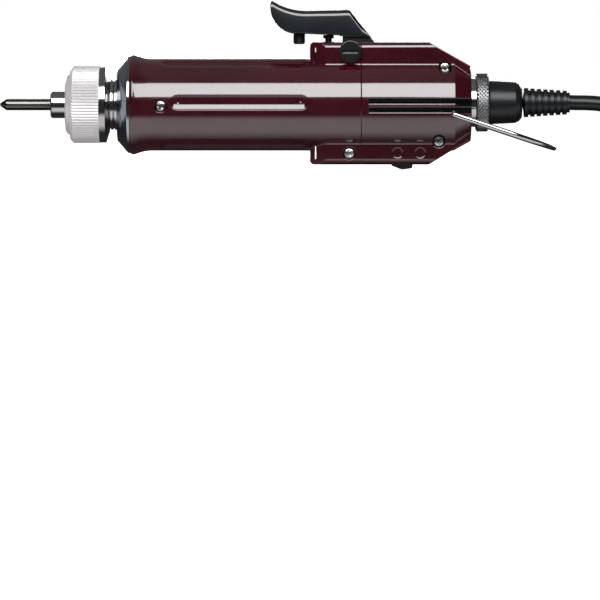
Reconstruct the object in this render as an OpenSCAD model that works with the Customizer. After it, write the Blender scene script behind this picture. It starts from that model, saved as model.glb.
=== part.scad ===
// Electric torque screwdriver: an in-line assembly tool with a start lever, a reversing
// rocker, a torque clutch set by a knurled nut, and a planetary drive behind it.
// The tool lies along X: nose towards -X, cord towards +X, lever up (+Z).
// The origin is on the spindle axis, where the bit leaves the chuck sleeve.

/* [Casing] */
// Outer diameter of the barrel
barrel_d = 36; // [35:0.5:39]
// Diameter of the flared front rim
flare_d = 39.2; // [38.4:0.2:42]
// Length over which the flare fades into the barrel
flare_len = 7.4; // [5:0.2:9]
// Length of the front casing
front_len = 89.7; // [89:0.1:94]
// Length of the rear casing
rear_len = 42.6; // [42:0.1:48]
// Wall of the casings over the drive
wall = 2.6; // [2.2:0.1:2.6]
// Wall of the keels
keel_wall = 2; // [1.6:0.1:2.2]
// Gap that shows between front and rear casing
seam_gap = 0.2; // [0.1:0.05:0.4]
// Length of the tapered tail
tail_len = 6.5; // [5:0.5:8]
// Diameter of the tail's end face
tail_d = 28.6; // [26:0.2:31]

/* [Keels] */
// Front of both keels, behind the front of the casing
keel_from = 69.8; // [67:0.1:71]
// Height of the upper keel's top above the axis
keel_top = 24.2; // [23.8:0.1:25]
// Depth of the lower keel's underside below the axis
keel_low = 23.3; // [23:0.1:24]
// Width of the upper keel
top_w = 19; // [18:0.5:20]
// Width of the lower keel
low_w = 20; // [19:0.5:22]
// Length of the chamfers beside the keels' fronts
keel_nose = 6; // [4:0.2:7]
// Radius of the cove between a keel and the barrel
cove_r = 1.2; // [0.6:0.1:1.4]
// Rounding along the keels' edges
keel_round = 2.3; // [1.5:0.1:2.5]
// Length of the flat top before it slants down to the tail
keel_flat = 46; // [45:0.5:47]

/* [Flutes and grooves] */
// Number of flutes round the barrel
flutes = 6; // [4:2:6]
// Width of a flute
flute_w = 6; // [4:0.2:6.4]
// Turn of the flutes about the axis
flute_turn = 2.5; // [0:0.5:4]
// Depth of a flute
flute_depth = 1.1; // [0.8:0.1:1.2]
// Height of one side groove of the rear casing
groove_h = 2.3; // [1.8:0.1:2.4]
// Height of the rib between the two side grooves
groove_rib = 1; // [0.8:0.1:1.4]
// Depth of the side grooves
groove_depth = 1.1; // [0.6:0.1:1.3]

/* [Nose] */
// Length of the chuck sleeve that shows
sleeve_show = 5.9; // [5.5:0.1:7]
// Diameter of the chuck sleeve
sleeve_d = 10.5; // [10.3:0.1:10.9]
// Length of the nut's plain front boss
boss_len = 1.9; // [1.5:0.1:2.5]
// Diameter of the nut's boss at its front
boss_d = 21; // [20:0.5:23]
// Diameter of the knurled torque nut
nut_d = 30; // [29:0.2:32]
// Length of the knurl
knurl_len = 11.3; // [10:0.1:13]
// Number of knurl teeth
knurl_teeth = 80; // [60:4:96]
// Length of the nut's smooth rear flange
flange_len = 2.5; // [2:0.1:3]
// Length of threaded neck that shows
neck_show = 3.1; // [2.9:0.1:3.6]
// Diameter of the threaded neck
neck_d = 19.6; // [19.4:0.2:20.2]
// Length of the chrome nose cone
cone_len = 5.1; // [5:0.1:6]
// Diameter of the nose cone's front
cone_d = 29; // [28:0.2:31]

/* [Torque setting] */
// Travel of the nut from rest towards the cone
travel_in = 2.5; // [1.5:0.1:2.5]
// Travel of the nut from rest towards the bit
travel_out = 1.5; // [0.5:0.1:1.6]
// Wire of the torque spring
spring_wire = 1.9; // [1.6:0.1:2]
// Length of the torque spring at rest
spring_len = 12; // [11.5:0.1:13]
// Pitch of the nut's thread
thread_pitch = 1.5; // [1.25:0.25:2]
// Diameter of the three push pins
push_pin_d = 2; // [1.6:0.1:2.2]

/* [Bit and spindle] */
// Diameter of the bit's working shank
bit_d = 4.4; // [4.2:0.1:4.6]
// Length of bit in front of the chuck
bit_out = 19.8; // [15:0.1:40]
// Diameter of the bit's drive shank
drive_d = 4; // [3.8:0.1:4.1]
// Diameter of the spindle in its bush
spindle_d = 8; // [7.8:0.1:8.2]
// Diameter of the spindle under the chuck sleeve
chuck_d = 6.8; // [6.6:0.1:7]
// Travel of the chuck sleeve
sleeve_travel = 2; // [1.5:0.1:2.2]

/* [Gearbox] */
// Tooth module
tooth_m = 0.5; // [0.48:0.01:0.5]
// Teeth of the motor pinion
sun_teeth = 12; // [12]
// Teeth of a planet gear
planet_teeth = 18; // [18]
// Face width of the gears
gear_w = 6; // [5:0.1:6.5]
// Play between meshing flanks
backlash = 0.06; // [0.04:0.01:0.1]

/* [Motor] */
// Diameter of the motor
motor_d = 29.6; // [28:0.2:29.6]
// Length of the motor can
motor_len = 45; // [44:0.5:45]
// Diameter of the motor shaft
shaft_d = 3; // [2.6:0.1:3.2]
// Diameter of the rotor core
rotor_d = 21.6; // [20:0.2:22]
// Number of rotor slots
rotor_slots = 10; // [8:1:12]

/* [Lever and switches] */
// Width of the lever's pad
lever_w = 13; // [12:0.5:15]
// Width of the lever's leg in the keel
leg_w = 9.6; // [9:0.1:10]
// Diameter of the lever's pivot pin
pivot_d = 3; // [2.6:0.1:3.2]
// Diameter of the knob on the pivot
knob_d = 8.6; // [8:0.2:9]
// Diameter of the stop peg
peg_d = 4.6; // [4:0.2:5]
// Diameter of the plunger
plunger_d = 2.6; // [2.4:0.1:3]
// Length of the reversing rocker
rocker_len = 8; // [7:0.2:8.4]
// Width of the reversing rocker
rocker_w = 9; // [8:0.2:10]

/* [Tail] */
// Diameter of the socket's flange
socket_d = 19; // [18:0.2:20]
// Diameter of the knurled locking ring
ring_d = 22.9; // [22:0.1:25]
// Length of the locking ring
ring_len = 5; // [4.5:0.1:6]
// Diameter of the plug body
plug_d = 17; // [16:0.2:18]
// Length of the plug body
plug_len = 12.9; // [12:0.1:14]
// Number of ribs on the strain relief
relief_ribs = 7; // [6:1:7]
// Spacing of the strain relief's ribs
relief_pitch = 2.5; // [2.2:0.1:2.6]
// Diameter of the strain relief's first rib
relief_d = 11.4; // [10.6:0.2:12]
// Diameter of the strain relief's last rib
relief_end_d = 9.4; // [9:0.2:10]
// Height of the socket's axis above the barrel's axis
socket_z = 0.8; // [0.5:0.1:1]
// Diameter of the cord
cord_d = 6; // [5.6:0.1:6.4]
// Diameter of the bail's wire
bail_wire = 2; // [1.6:0.1:2.2]
// Length of the bail from its pivot to its end
bail_len = 42.7; // [38:0.1:50]
// Angle of the bail below the axis at rest
bail_angle = 18.5; // [14:0.5:20]

/* [Screws] */
// Diameter of the casing screws' heads
head_d = 4.5; // [4.2:0.1:5]
// Height of the casing screws' heads
head_h = 1.6; // [1.4:0.1:1.8]
// Diameter of the casing screws
screw_d = 2.5; // [2.2:0.1:2.6]

/* [Hidden] */
$fn = 48;

// Clearances
run_gap = 0.05;      // radial clearance of a shaft or slide that fits closely
move_gap = 0.3;      // clearance between bodies that pass each other
face_gap = 0.1;      // axial clearance between turning faces

// Stations along the axis
nut_x = sleeve_show;
knurl_x = nut_x + boss_len;
flange_x = knurl_x + knurl_len;
nut_taper = 1.4;
nut_end = flange_x + flange_len + nut_taper;
cone_x = nut_end + neck_show;
case_x = cone_x + cone_len;
seam_x = case_x + front_len;
rear_x = seam_x + rear_len;
keel_x = case_x + keel_from;
slant_x = keel_x + keel_flat;

// Radii of the casing
barrel_r = barrel_d / 2;
bore_r = barrel_r - wall;
tail_r = tail_d / 2;
tail_x = rear_x - tail_len;
rear_wall = 2.5;

// Nut, thrust ring and push pins
neck_r = neck_d / 2;
nut_r = nut_d / 2;
boss_r0 = boss_d / 2;
sleeve_r = sleeve_d / 2;
thread_r = neck_r + 0.07;
shoulder_x = nut_x + 3.6;
thrust_t = 1.8;
thrust_x = shoulder_x + run_gap;
thrust_bore_r = sleeve_r + 0.4;
neck_x = thrust_x + thrust_t + travel_in + move_gap;

// Clutch housing
bush_r = 5.5;
pin_circle_r = (neck_r + bush_r) / 2;
push_pin_r = push_pin_d / 2;
bush_len = 8;
housing_r = bore_r;
step_x = cone_x + 2.9;
chamber_x = step_x + 1.4;
chamber_r = housing_r - 2.2;
seat_t = 2;
seat_x = chamber_x + travel_out + face_gap;
spring_x = seat_x + seat_t;
spring_end = spring_x + spring_len;
spring_r = 9.6;
bearing_t = 2.2;
plate_x = spring_end + bearing_t + face_gap;
plate_t = 3;
plate_gap = 1.2;
ball_r = 1.75;
ball_circle_r = 8.5;
ball_x = plate_x + plate_t + plate_gap / 2;
cam_x = plate_x + plate_t + plate_gap;
cam_t = 3;
cam_r = chamber_r - 0.8;
carrier_end = cam_x + cam_t;

// Bit, chuck and spindle
drive_r = drive_d / 2;
drive_len = 15;
chuck_r = chuck_d / 2;
spindle_r = spindle_d / 2;
spindle_front = 0.2;
clip_x = 0.4;
clip_t = 0.6;
clip_r = chuck_r + 0.8;
chuck_ball_r = 0.9;
chuck_ball_x = 4.1;
chuck_ball_circle = drive_r - 0.3 + chuck_ball_r;
land_r = chuck_ball_circle + chuck_ball_r + run_gap;
land_x0 = chuck_ball_x - 1;
land_x1 = chuck_ball_x + 1;
relief_r = chuck_r + 1;
lip_x = clip_x + clip_t + face_gap;
collar_x = land_x1 + 3.7;
collar_t = 1;
collar_r = relief_r - 0.1;
sleeve_end = collar_x + collar_t - 0.4;
chuck_wire = 0.5;
drive_flat = 1.4;

// Gears
ring_teeth = sun_teeth + 2 * planet_teeth;
sun_r = tooth_m * sun_teeth / 2;
planet_r = tooth_m * planet_teeth / 2;
ring_r = tooth_m * ring_teeth / 2;
planet_circle_r = sun_r + planet_r;
gear_x = carrier_end + 0.5;
gear_end = gear_x + gear_w;
ring_x = carrier_end + 0.2;
ring_end = gear_end + 0.5;
planet_pin_r = 1;
planets = 3;

// Motor
motor_r = motor_d / 2;
plate_motor_t = 2.2;
motor_x = ring_end + plate_motor_t;
motor_end = motor_x + motor_len;
can_wall = 1.2;
cap_t = 5;
shaft_r = shaft_d / 2;
shaft_end = motor_end + cap_t + 1;
bearing_r = 3.6;
front_bearing_len = 3;
core_x = motor_x + 7;
core_len = 26;
core_r = rotor_d / 2;
magnet_r = core_r + 0.5;
commutator_x = core_x + core_len + 5;
commutator_len = 6;
commutator_r = 4.2;

// Lever
pivot_x = keel_x + 15.6;
pivot_z = keel_top - 3.7;
pivot_r = pivot_d / 2;
pad_low = keel_top + 3;
slot_x0 = pivot_x - 4.8;
slot_x1 = pivot_x + 10.6;
slot_w = leg_w + 2 * move_gap;
plunger_x = pivot_x - 8.4;
plunger_r = plunger_d / 2;
peg_x = pivot_x - 19.8;

// Switches and board
switch_x = keel_x + keel_wall;
switch_len = 8;
switch_h = 4.8;
switch_z = motor_r + 0.8;
rocker_x = seam_x + 16.3;
rocker_z = 2.9 - keel_low;
rocker_tilt = 6;
rocker_drop = 4.9;
rocker_room = rocker_len + 2 * move_gap + 0.6;
reverse_len = rocker_len + 4.4;
reverse_top = 16;
board_x = seam_x + 3;
board_len = 24;
board_t = 1.6;
board_z = 4.2;
board_w = 23;

// Tail
flange_socket_t = 1.9;
ring_x0 = rear_x + flange_socket_t + face_gap;
ring_x1 = ring_x0 + ring_len;
socket_r = 8;
cup_r = 6.8;
plug_x = ring_x1 + face_gap;
plug_end = plug_x + plug_len;
relief_end = plug_end + relief_ribs * relief_pitch + 1.2;
bail_x = rear_x - 6.9;
bail_z = -3.8;
bail_half = barrel_r + bail_wire / 2 + 0.2;
bail_r = bail_wire / 2;
bail_hole_r = bail_r + run_gap;

// Screws: place along the axis, height and the side face that the head sits in
screw_r = screw_d / 2;
head_r = head_d / 2;
long_screws = [
    [pivot_x - 0.4, -keel_low + 4.4, low_w / 2],
    [rear_x - 10.2, keel_top - 9.9, top_w / 2],
    [rear_x - 12.6, -keel_low + 9.1, low_w / 2]
];
screw_reach = 6;
boss_r = 2.8;
nose_screw_x = case_x + 12.1;
nose_screw_z = -0.5;
nose_head_y = barrel_r - 0.4;

// Cord: the route from the strain relief to the hank, then from the hank to the power plug
floor_z = -25.3;
cord_lead = [
    [relief_end, 0, socket_z], [214, 0, 0.3], [226, -1.5, -2.6], [238, -5.5, -8], [249, -9.7, -14],
    [260, -13.5, -19], [271, -16.4, -21.7], [282, -17.8, -22.3], [292, -18, -22.3]
];
cord_end = [
    [292, -18, 1.7], [304, -16.4, 1.7], [315, -12, 0.6], [325, -7.6, -2.4], [334, -4, -6.6],
    [343, -1.6, -11], [352, -0.4, -15], [361, 0, -17.6], [371, 0, -18.4]
];
hank_x0 = 292;
hank_run = 110;
hank_bend = 18;
hank_h = 30;
power_plug_x = 371;
power_plug_z = -18.4;
power_boot_r = 6.9;
power_boot_len = 16;
power_shell_r = 6.6;
power_shell_len = 12;

// ---- shared shapes ----

// A solid of revolution about the tool's axis from [radius, x] points
module turned(points) {
    rotate([0, 90, 0]) rotate_extrude() polygon(points);
}

// A cylinder along the tool's axis
module rod(r, x0, x1) {
    translate([x0, 0, 0]) rotate([0, 90, 0]) cylinder(r = r, h = x1 - x0);
}

// A ring along the tool's axis
module pipe(r, bore, x0, x1) {
    turned([[bore, x0], [r, x0], [r, x1], [bore, x1]]);
}

// A cylinder across the tool, along Y
module cross(r, x, z, y0, y1) {
    translate([x, y0, z]) rotate([-90, 0, 0]) cylinder(r = r, h = y1 - y0);
}

// A side outline in X and Z made solid across the tool
module across(w) {
    rotate([90, 0, 0]) linear_extrude(w, center = true) children();
}

// A section in Y and Z made solid along the tool
module along(x0, x1) {
    translate([x0, 0, 0]) rotate([90, 0, 90]) linear_extrude(x1 - x0) children();
}

// A box from its low and high corners
module block(low, high) {
    translate(low) cube(high - low);
}

// A rectangle with round corners
module round_rect(w, h, r) {
    square([w - 2 * r, h], center = true);
    square([w, h - 2 * r], center = true);
    for (sx = [-1, 1], sy = [-1, 1])
        translate([sx * (w / 2 - r), sy * (h / 2 - r)]) circle(r);
}

// A slot with round ends
module slot(length, w) {
    square([length - w, w], center = true);
    for (s = [-1, 1])
        translate([s * (length - w) / 2, 0]) circle(w / 2);
}

function unit(v) = v / norm(v);

function direction(path, i) =
    unit(path[min(i + 1, len(path) - 1)] - path[max(i - 1, 0)]);

// A round tube along a path; up is never parallel to the path
module tube(path, r, sides, up) {
    points = [
        for (i = [0 : len(path) - 1])
            let (t = direction(path, i), n = unit(cross(up, t)), b = cross(t, n))
            for (j = [0 : sides - 1])
                path[i] + r * (cos(360 * j / sides) * n + sin(360 * j / sides) * b)
    ];
    last = (len(path) - 1) * sides;
    faces = concat(
        [[for (j = [0 : sides - 1]) j]],
        [[for (j = [sides - 1 : -1 : 0]) last + j]],
        [
            for (i = [0 : len(path) - 2], j = [0 : sides - 1])
                let (k = (j + 1) % sides)
                [i * sides + j, (i + 1) * sides + j, (i + 1) * sides + k, i * sides + k]
        ]
    );
    polyhedron(points, faces, convexity = 6);
}

// The path of a helical spring about an axis along X
function coil(r, x0, x1, turns, steps) = [
    for (i = [0 : turns * steps])
        [x0 + (x1 - x0) * i / (turns * steps), r * cos(360 * i / steps), r * sin(360 * i / steps)]
];

function arc(centre, r, a0, a1, n) =
    [for (i = [0 : n]) centre + r * [cos(a0 + (a1 - a0) * i / n), sin(a0 + (a1 - a0) * i / n)]];

// ---- gears ----

function involute(a) = tan(a) * 180 / PI - a;

pressure = 20;

// Half the angle that a tooth fills at radius r
function tooth_half(n, r, widen) =
    let (base = tooth_m * n / 2 * cos(pressure), a = acos(min(1, base / max(r, base))))
    90 / n + involute(pressure) - involute(a) + widen;

// Outline of a gear with n teeth between root and tip radius
function gear_points(n, root, tip, widen, steps = 4) = [
    for (k = [0 : n - 1], side = [-1, 1], i = [0 : steps])
        let (j = side < 0 ? i : steps - i, r = root + (tip - root) * j / steps)
        let (a = 360 * k / n + side * tooth_half(n, r, widen))
        r * [cos(a), sin(a)]
];

function play(r) = backlash / 2 / r * 180 / PI;

module external_gear(n) {
    r = tooth_m * n / 2;
    polygon(gear_points(n, r - 1.2 * tooth_m, r + 0.85 * tooth_m, -play(r)));
}

// A row of copies on a circle about the tool's axis, starting at angle a0
module on_circle(count, r, a0 = 0) {
    for (k = [0 : count - 1])
        rotate([a0 + 360 * k / count, 0, 0]) translate([0, r, 0]) children();
}

// ---- casing ----

flare_from = case_x + 1.2;

function flare_r(t) = barrel_r + (flare_d - barrel_d) / 2 * pow(1 - t, 1.5);

flare_curve = [
    for (i = [0 : 8])
        [flare_r(i / 8), flare_from + (flare_len - 1.2) * i / 8]
];

// The barrel and tail, with an inset for grooves and walls
module barrel_form() {
    turned(concat(
        [[0, case_x], [flare_d / 2 - 0.3, case_x]],
        flare_curve,
        [[barrel_r, tail_x], [tail_r, rear_x], [0, rear_x]]
    ));
}

// A keel's width seen from above, with its front corners cut back
module keel_plan(w) {
    narrow = w / 2 - keel_nose * 0.55;
    polygon([
        [keel_x, -narrow], [keel_x + keel_nose, -w / 2], [rear_x, -w / 2],
        [rear_x, w / 2], [keel_x + keel_nose, w / 2], [keel_x, narrow]
    ]);
}

// A keel whose flat lies at the given height, sloping down to the tail's end face
module keel(w, height, end_height) {
    intersection() {
        across(w + 2) polygon([
            [keel_x, 0], [keel_x, height - 1], [keel_x + 1, height],
            [slant_x, height], [rear_x - 0.4, end_height], [rear_x - 0.4, 0]
        ]);
        along(keel_x - 1, rear_x) round_rect(w, 2 * height, keel_round);
        linear_extrude(height + 1) keel_plan(w);
    }
}

// The hollow rounding where a keel's side meets the barrel
module cove(w) {
    y = w / 2 + cove_r;
    z = sqrt(pow(barrel_r + cove_r, 2) - y * y);
    foot = barrel_r / (barrel_r + cove_r) * [y, z];
    along(keel_x + keel_nose, tail_x) for (s = [0, 1])
        mirror([s, 0]) difference() {
            polygon([[w / 2 - 0.5, z], [y, z], foot, foot - [1, 1], [w / 2 - 0.5, z - 2.5]]);
            translate([y, z]) circle(cove_r);
        }
}

module upper_keel() {
    keel(top_w, keel_top, tail_r + socket_z);
    cove(top_w);
}

module lower_keel() {
    mirror([0, 0, 1]) {
        keel(low_w, keel_low, tail_r - socket_z);
        cove(low_w);
    }
}

module casing_form() {
    barrel_form();
    upper_keel();
    lower_keel();
}

module casing_void() {
    turned([
        [0, case_x - 1], [bore_r, case_x - 1], [bore_r, tail_x - 1],
        [tail_r - 1.8, rear_x - rear_wall], [0, rear_x - rear_wall]
    ]);
    block([keel_x + keel_wall, keel_wall - top_w / 2, 8],
          [slant_x, top_w / 2 - keel_wall, keel_top - keel_wall]);
    block([keel_x + keel_wall, keel_wall - low_w / 2, keel_wall - keel_low],
          [slant_x, low_w / 2 - keel_wall, -8]);
}

motor_ribs = [motor_x + 2, motor_x + motor_len / 2 - 1, motor_end - 4];

// Ribs, bosses, the switch shelf and the board's rails
module casing_inside() {
    for (x = motor_ribs)
        pipe(bore_r + 0.1, motor_r, x, x + 2);
    block([switch_x - 1, -top_w / 2, motor_r + 0.1], [switch_x + switch_len, top_w / 2, switch_z]);
    for (s = [-1, 1]) {
        cross(pivot_r + 1.5, pivot_x, pivot_z,
              s > 0 ? slot_w / 2 : -top_w / 2, s > 0 ? top_w / 2 : -slot_w / 2);
        block([board_x, s > 0 ? board_w / 2 - 1.4 : -bore_r - 0.2, board_z - 1.2],
              [board_x + board_len, s > 0 ? bore_r + 0.2 : 1.4 - board_w / 2, board_z]);
    }
    for (screw = long_screws)
        cross(boss_r, screw[0], screw[1], -screw[2], screw[2]);
}

// A flute is a shallow scoop with ball ends, as wide at the barrel's surface as flute_w
flute_sag = flute_depth - barrel_r + sqrt(barrel_r * barrel_r - flute_w * flute_w / 4);
flute_r = (flute_w * flute_w / 4 + flute_sag * flute_sag) / (2 * flute_sag);

module flute(x0, x1) {
    translate([0, 0, barrel_r - flute_depth + flute_r]) {
        rod(flute_r, x0 + flute_w / 2, x1 - flute_w / 2);
        for (x = [x0 + flute_w / 2, x1 - flute_w / 2])
            translate([x, 0, 0]) sphere(flute_r);
    }
}

// What is left of a side groove's band outside its floor
module side_groove(z0, z1) {
    difference() {
        block([seam_x + 2.7, -barrel_r - 1, z0], [rear_x + 1, barrel_r + 1, z1]);
        turned([
            [0, seam_x], [barrel_r - groove_depth, seam_x], [barrel_r - groove_depth, tail_x],
            [tail_r - groove_depth, rear_x + 2], [0, rear_x + 2]
        ]);
    }
}

module screw_cuts() {
    for (screw = long_screws) {
        seat = -screw[2] + 0.2 + head_h;
        cross(head_r + 0.3, screw[0], screw[1], -barrel_r - 2, seat);
        cross(screw_r + 0.15, screw[0], screw[1], seat - 1, 0);
        cross(screw_r, screw[0], screw[1], -0.5, screw_reach);
    }
    for (s = [-1, 1])
        scale_side(s) {
            cross(head_r + 0.3, nose_screw_x, nose_screw_z, nose_head_y - head_h, barrel_r + 2);
            cross(screw_r + 0.15, nose_screw_x, nose_screw_z, bore_r - 1, barrel_r);
        }
}

// Keeps a child on the right (1) or mirrors it to the left (-1)
module scale_side(s) {
    if (s > 0) children();
    else mirror([0, 1, 0]) children();
}

dimples = [rocker_x - 2.3, rocker_x + 6.5];
notches = [pivot_x - 0.4, rocker_x - 2.3, rocker_x + 6.5];

module casing_cuts() {
    for (k = [0 : flutes - 1])
        rotate([90 - flute_turn + 360 * k / flutes, 0, 0])
            flute(case_x + (k % (flutes / 2) == 0 ? 16 : 12.4), keel_x - 0.8);
    groove_z = -0.4;
    side_groove(groove_z + groove_rib / 2, groove_z + groove_rib / 2 + groove_h);
    side_groove(groove_z - groove_rib / 2 - groove_h, groove_z - groove_rib / 2);
    block([slot_x0, -slot_w / 2, keel_top - keel_wall - 1], [slot_x1, slot_w / 2, keel_top + 1]);
    cross(pivot_r, pivot_x, pivot_z, -top_w, top_w);
    translate([plunger_x, 0, keel_top - keel_wall - 1]) cylinder(r = guide_r, h = keel_wall + 2);
    block([rocker_x - rocker_room / 2, -rocker_w / 2 - move_gap, -keel_low - 1],
          [rocker_x + rocker_room / 2, rocker_w / 2 + move_gap, keel_wall - keel_low + 1]);
    for (x = dimples, s = [-1, 1])
        scale_side(s) cross(2, x, 4.6 - keel_low, low_w / 2 - 0.5, low_w / 2 + 1);
    for (x = notches, s = [-1, 1])
        scale_side(s) block([x - 1.4, 11, -14], [x + 1.4, barrel_r, -13.2]);
    screw_cuts();
    translate([0, 0, socket_z]) rod(socket_shank_r, rear_x - rear_wall - 1, rear_x + 1);
    cross(bail_hole_r, bail_x, bail_z, -barrel_r - 1, barrel_r + 1);
}

module casing() {
    difference() {
        union() {
            difference() {
                casing_form();
                casing_void();
            }
            intersection() {
                casing_form();
                casing_inside();
            }
        }
        casing_cuts();
    }
}

module casing_part(side, x0, x1) {
    intersection() {
        casing();
        block([x0, side > 0 ? 0 : -barrel_d, -barrel_d], [x1, side > 0 ? barrel_d : 0, barrel_d]);
    }
}

module front_casing_left() {
    color("#3c0e16") casing_part(-1, case_x, seam_x - seam_gap);
}

module front_casing_right() {
    color("#3c0e16") casing_part(1, case_x, seam_x - seam_gap);
}

module rear_casing_left() {
    color("#3c0e16") casing_part(-1, seam_x, rear_x + 1);
}

module rear_casing_right() {
    color("#3c0e16") casing_part(1, seam_x, rear_x + 1);
}

// ---- nose and torque setting ----

module nose_cone() {
    rim = flare_d / 2 - 0.6;
    color("#7d838a") turned([
        [neck_r, cone_x], [cone_d / 2 - 0.3, cone_x], [cone_d / 2, cone_x + 0.3],
        [rim, case_x - 1], [rim, case_x], [housing_r, case_x], [housing_r, step_x],
        [neck_r, step_x]
    ]);
}

// One V groove after another along the neck, from [radius, x] points
thread_grooves = [
    for (x = [neck_x + 1.5 : thread_pitch : cone_x], e = [-1, 0, 1])
        [neck_r - (e == 0 ? 0.6 : 0), x + e * 0.45]
];

module clutch_housing() {
    color("#9a9fa5") difference() {
        turned(concat([[bush_r, neck_x], [neck_r - 0.5, neck_x], [neck_r, neck_x + 0.5]],
            thread_grooves, [
            [neck_r, step_x],
            [housing_r, step_x], [housing_r, ring_x], [chamber_r, ring_x], [chamber_r, chamber_x],
            [spindle_r + move_gap, chamber_x], [spindle_r + move_gap, neck_x + bush_len],
            [bush_r, neck_x + bush_len]
        ]));
        on_circle(3, pin_circle_r, 60) rod(push_pin_r + run_gap, neck_x - 1, chamber_x + 1);
        cross(screw_r, nose_screw_x, nose_screw_z, -housing_r - 1, housing_r + 1);
    }
}

knurl_depth = 0.35;

module torque_nut() {
    waist_r = boss_r0 + 1.7;
    color("#d8d8da") difference() {
        union() {
            turned([
                [0, nut_x], [boss_r0 - 0.4, nut_x], [boss_r0 + 0.7, nut_x + 0.5],
                [waist_r, knurl_x], [waist_r, flange_x], [nut_r - 0.2, flange_x],
                [nut_r - 0.2, flange_x + flange_len], [nut_r - 2.1, flange_x + flange_len + 0.6],
                [neck_r + 0.5, nut_end], [0, nut_end]
            ]);
            intersection() {
                along(knurl_x, flange_x) polygon([
                    for (i = [0 : 2 * knurl_teeth - 1])
                        let (r = i % 2 == 0 ? nut_r : nut_r - knurl_depth, a = 180 * i / knurl_teeth)
                        r * [cos(a), sin(a)]
                ]);
                turned([
                    [0, knurl_x], [nut_r - 1.2, knurl_x], [nut_r + 0.1, knurl_x + 1.3],
                    [nut_r + 0.1, flange_x], [0, flange_x]
                ]);
            }
        }
        rod(thrust_bore_r, nut_x - 1, shoulder_x + 1);
        rod(thread_r, shoulder_x, nut_end + 1);
    }
}

module thrust_ring() {
    color("#8d9095") pipe(neck_r - 0.4, thrust_bore_r, thrust_x, thrust_x + thrust_t);
}

module push_pins() {
    color("#a8abb0") on_circle(3, pin_circle_r, 60) rod(push_pin_r, thrust_x + thrust_t, seat_x);
}

module spring_seat() {
    color("#8d9095")
        pipe(spring_r + spring_wire / 2 + 1.6, spindle_r + move_gap, seat_x, seat_x + seat_t);
}

module torque_spring() {
    w = spring_wire / 2;
    color("#5c6066") tube(coil(spring_r, spring_x + w, spring_end - w, 4, 16), w, 6, [1, 0, 0]);
}

module thrust_bearing() {
    race = bearing_t / 3;
    color("#b4b7bb") turned([
        [6.4, spring_end], [chamber_r, spring_end], [chamber_r, spring_end + race],
        [11.4, spring_end + race], [11.4, spring_end + 2 * race],
        [12.4, spring_end + 2 * race], [12.4, spring_end + bearing_t],
        [6.4, spring_end + bearing_t], [6.4, spring_end + 2 * race],
        [7.4, spring_end + 2 * race], [7.4, spring_end + race], [6.4, spring_end + race]
    ]);
}

// ---- spindle, chuck and bit ----

module spindle_bush() {
    color("#b08d4f") pipe(bush_r, spindle_r + run_gap, neck_x, neck_x + bush_len);
}

flat_w = spindle_d - 1.4;
pilot_r = 3;
pilot_len = 2.4;

module flats(gap) {
    along(plate_x - 1, cam_x + 1) square([flat_w + 2 * gap, spindle_d + 2], center = true);
}

module spindle() {
    color("#8a8e94") difference() {
        union() {
            rod(chuck_r, spindle_front, collar_x);
            rod(collar_r, collar_x, collar_x + collar_t);
            rod(spindle_r, collar_x + collar_t, plate_x);
            intersection() {
                rod(spindle_r, plate_x, cam_x - face_gap);
                flats(0);
            }
            rod(pilot_r, cam_x - face_gap, cam_x + pilot_len);
        }
        rod(drive_r + run_gap, spindle_front - 1, drive_len - 3.5);
        intersection() {
            rod(drive_r + run_gap, drive_len - 3.6, drive_len + 0.3);
            block([0, -drive_r - 1, -drive_r - 1], [drive_len + 1, drive_r + 1, drive_flat + run_gap]);
        }
        cross(chuck_ball_r + run_gap, chuck_ball_x, 0, -chuck_r - 1, chuck_r + 1);
        difference() {
            rod(chuck_r + 1, clip_x, clip_x + clip_t);
            rod(chuck_r - 0.4, clip_x - 1, clip_x + clip_t + 1);
        }
    }
}

tip_cone = 2.4;
tip_r = 0.5;
bit_r = bit_d / 2;

module bit() {
    color("#6d7076") difference() {
        union() {
            turned([
                [0, -bit_out], [tip_r, -bit_out], [bit_r, tip_cone - bit_out], [bit_r, 0], [0, 0]
            ]);
            rod(drive_r, -0.5, drive_len - 3.5);
            intersection() {
                rod(drive_r, drive_len - 4, drive_len);
                block([0, -drive_r - 1, -drive_r - 1], [drive_len + 1, drive_r + 1, drive_flat]);
            }
        }
        rotate([0, 90, 0]) translate([0, 0, chuck_ball_x])
            rotate_extrude() translate([chuck_ball_circle, 0]) circle(chuck_ball_r + run_gap);
        for (k = [0 : 3])
            rotate([45 + 90 * k, 0, 0])
                translate([-bit_out - 0.5, 0.25, 0.25]) rotate([0, -18, 0]) rotate([0, 0, 18])
                    cube([6, 4, 4]);
    }
}

module chuck_sleeve() {
    color("#c6c8cc") turned([
        [relief_r, 0], [sleeve_r - 0.5, 0], [sleeve_r, 0.5], [sleeve_r, sleeve_end - 0.3],
        [sleeve_r - 0.3, sleeve_end], [relief_r, sleeve_end], [relief_r, land_x1],
        [land_r, land_x1], [land_r, land_x0], [relief_r, land_x0], [relief_r, lip_x + 0.4],
        [land_r, lip_x + 0.4], [land_r, lip_x], [relief_r, lip_x]
    ]);
}

module chuck_balls() {
    color("#c6c8cc") on_circle(2, chuck_ball_circle)
        translate([chuck_ball_x, 0, 0]) sphere(chuck_ball_r);
}

module chuck_spring() {
    w = chuck_wire / 2;
    r = (chuck_r + relief_r) / 2;
    color("#5c6066")
        tube(coil(r, land_x1 + face_gap + w, collar_x - face_gap - w, 2.5, 12), w, 6, [1, 0, 0]);
}

module chuck_clip() {
    color("#5c6066") difference() {
        pipe(clip_r, chuck_r - 0.4, clip_x, clip_x + clip_t);
        block([clip_x - 1, -1.2, 0], [clip_x + clip_t + 1, 1.2, clip_r + 1]);
    }
}

// ---- clutch and gearbox ----

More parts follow.
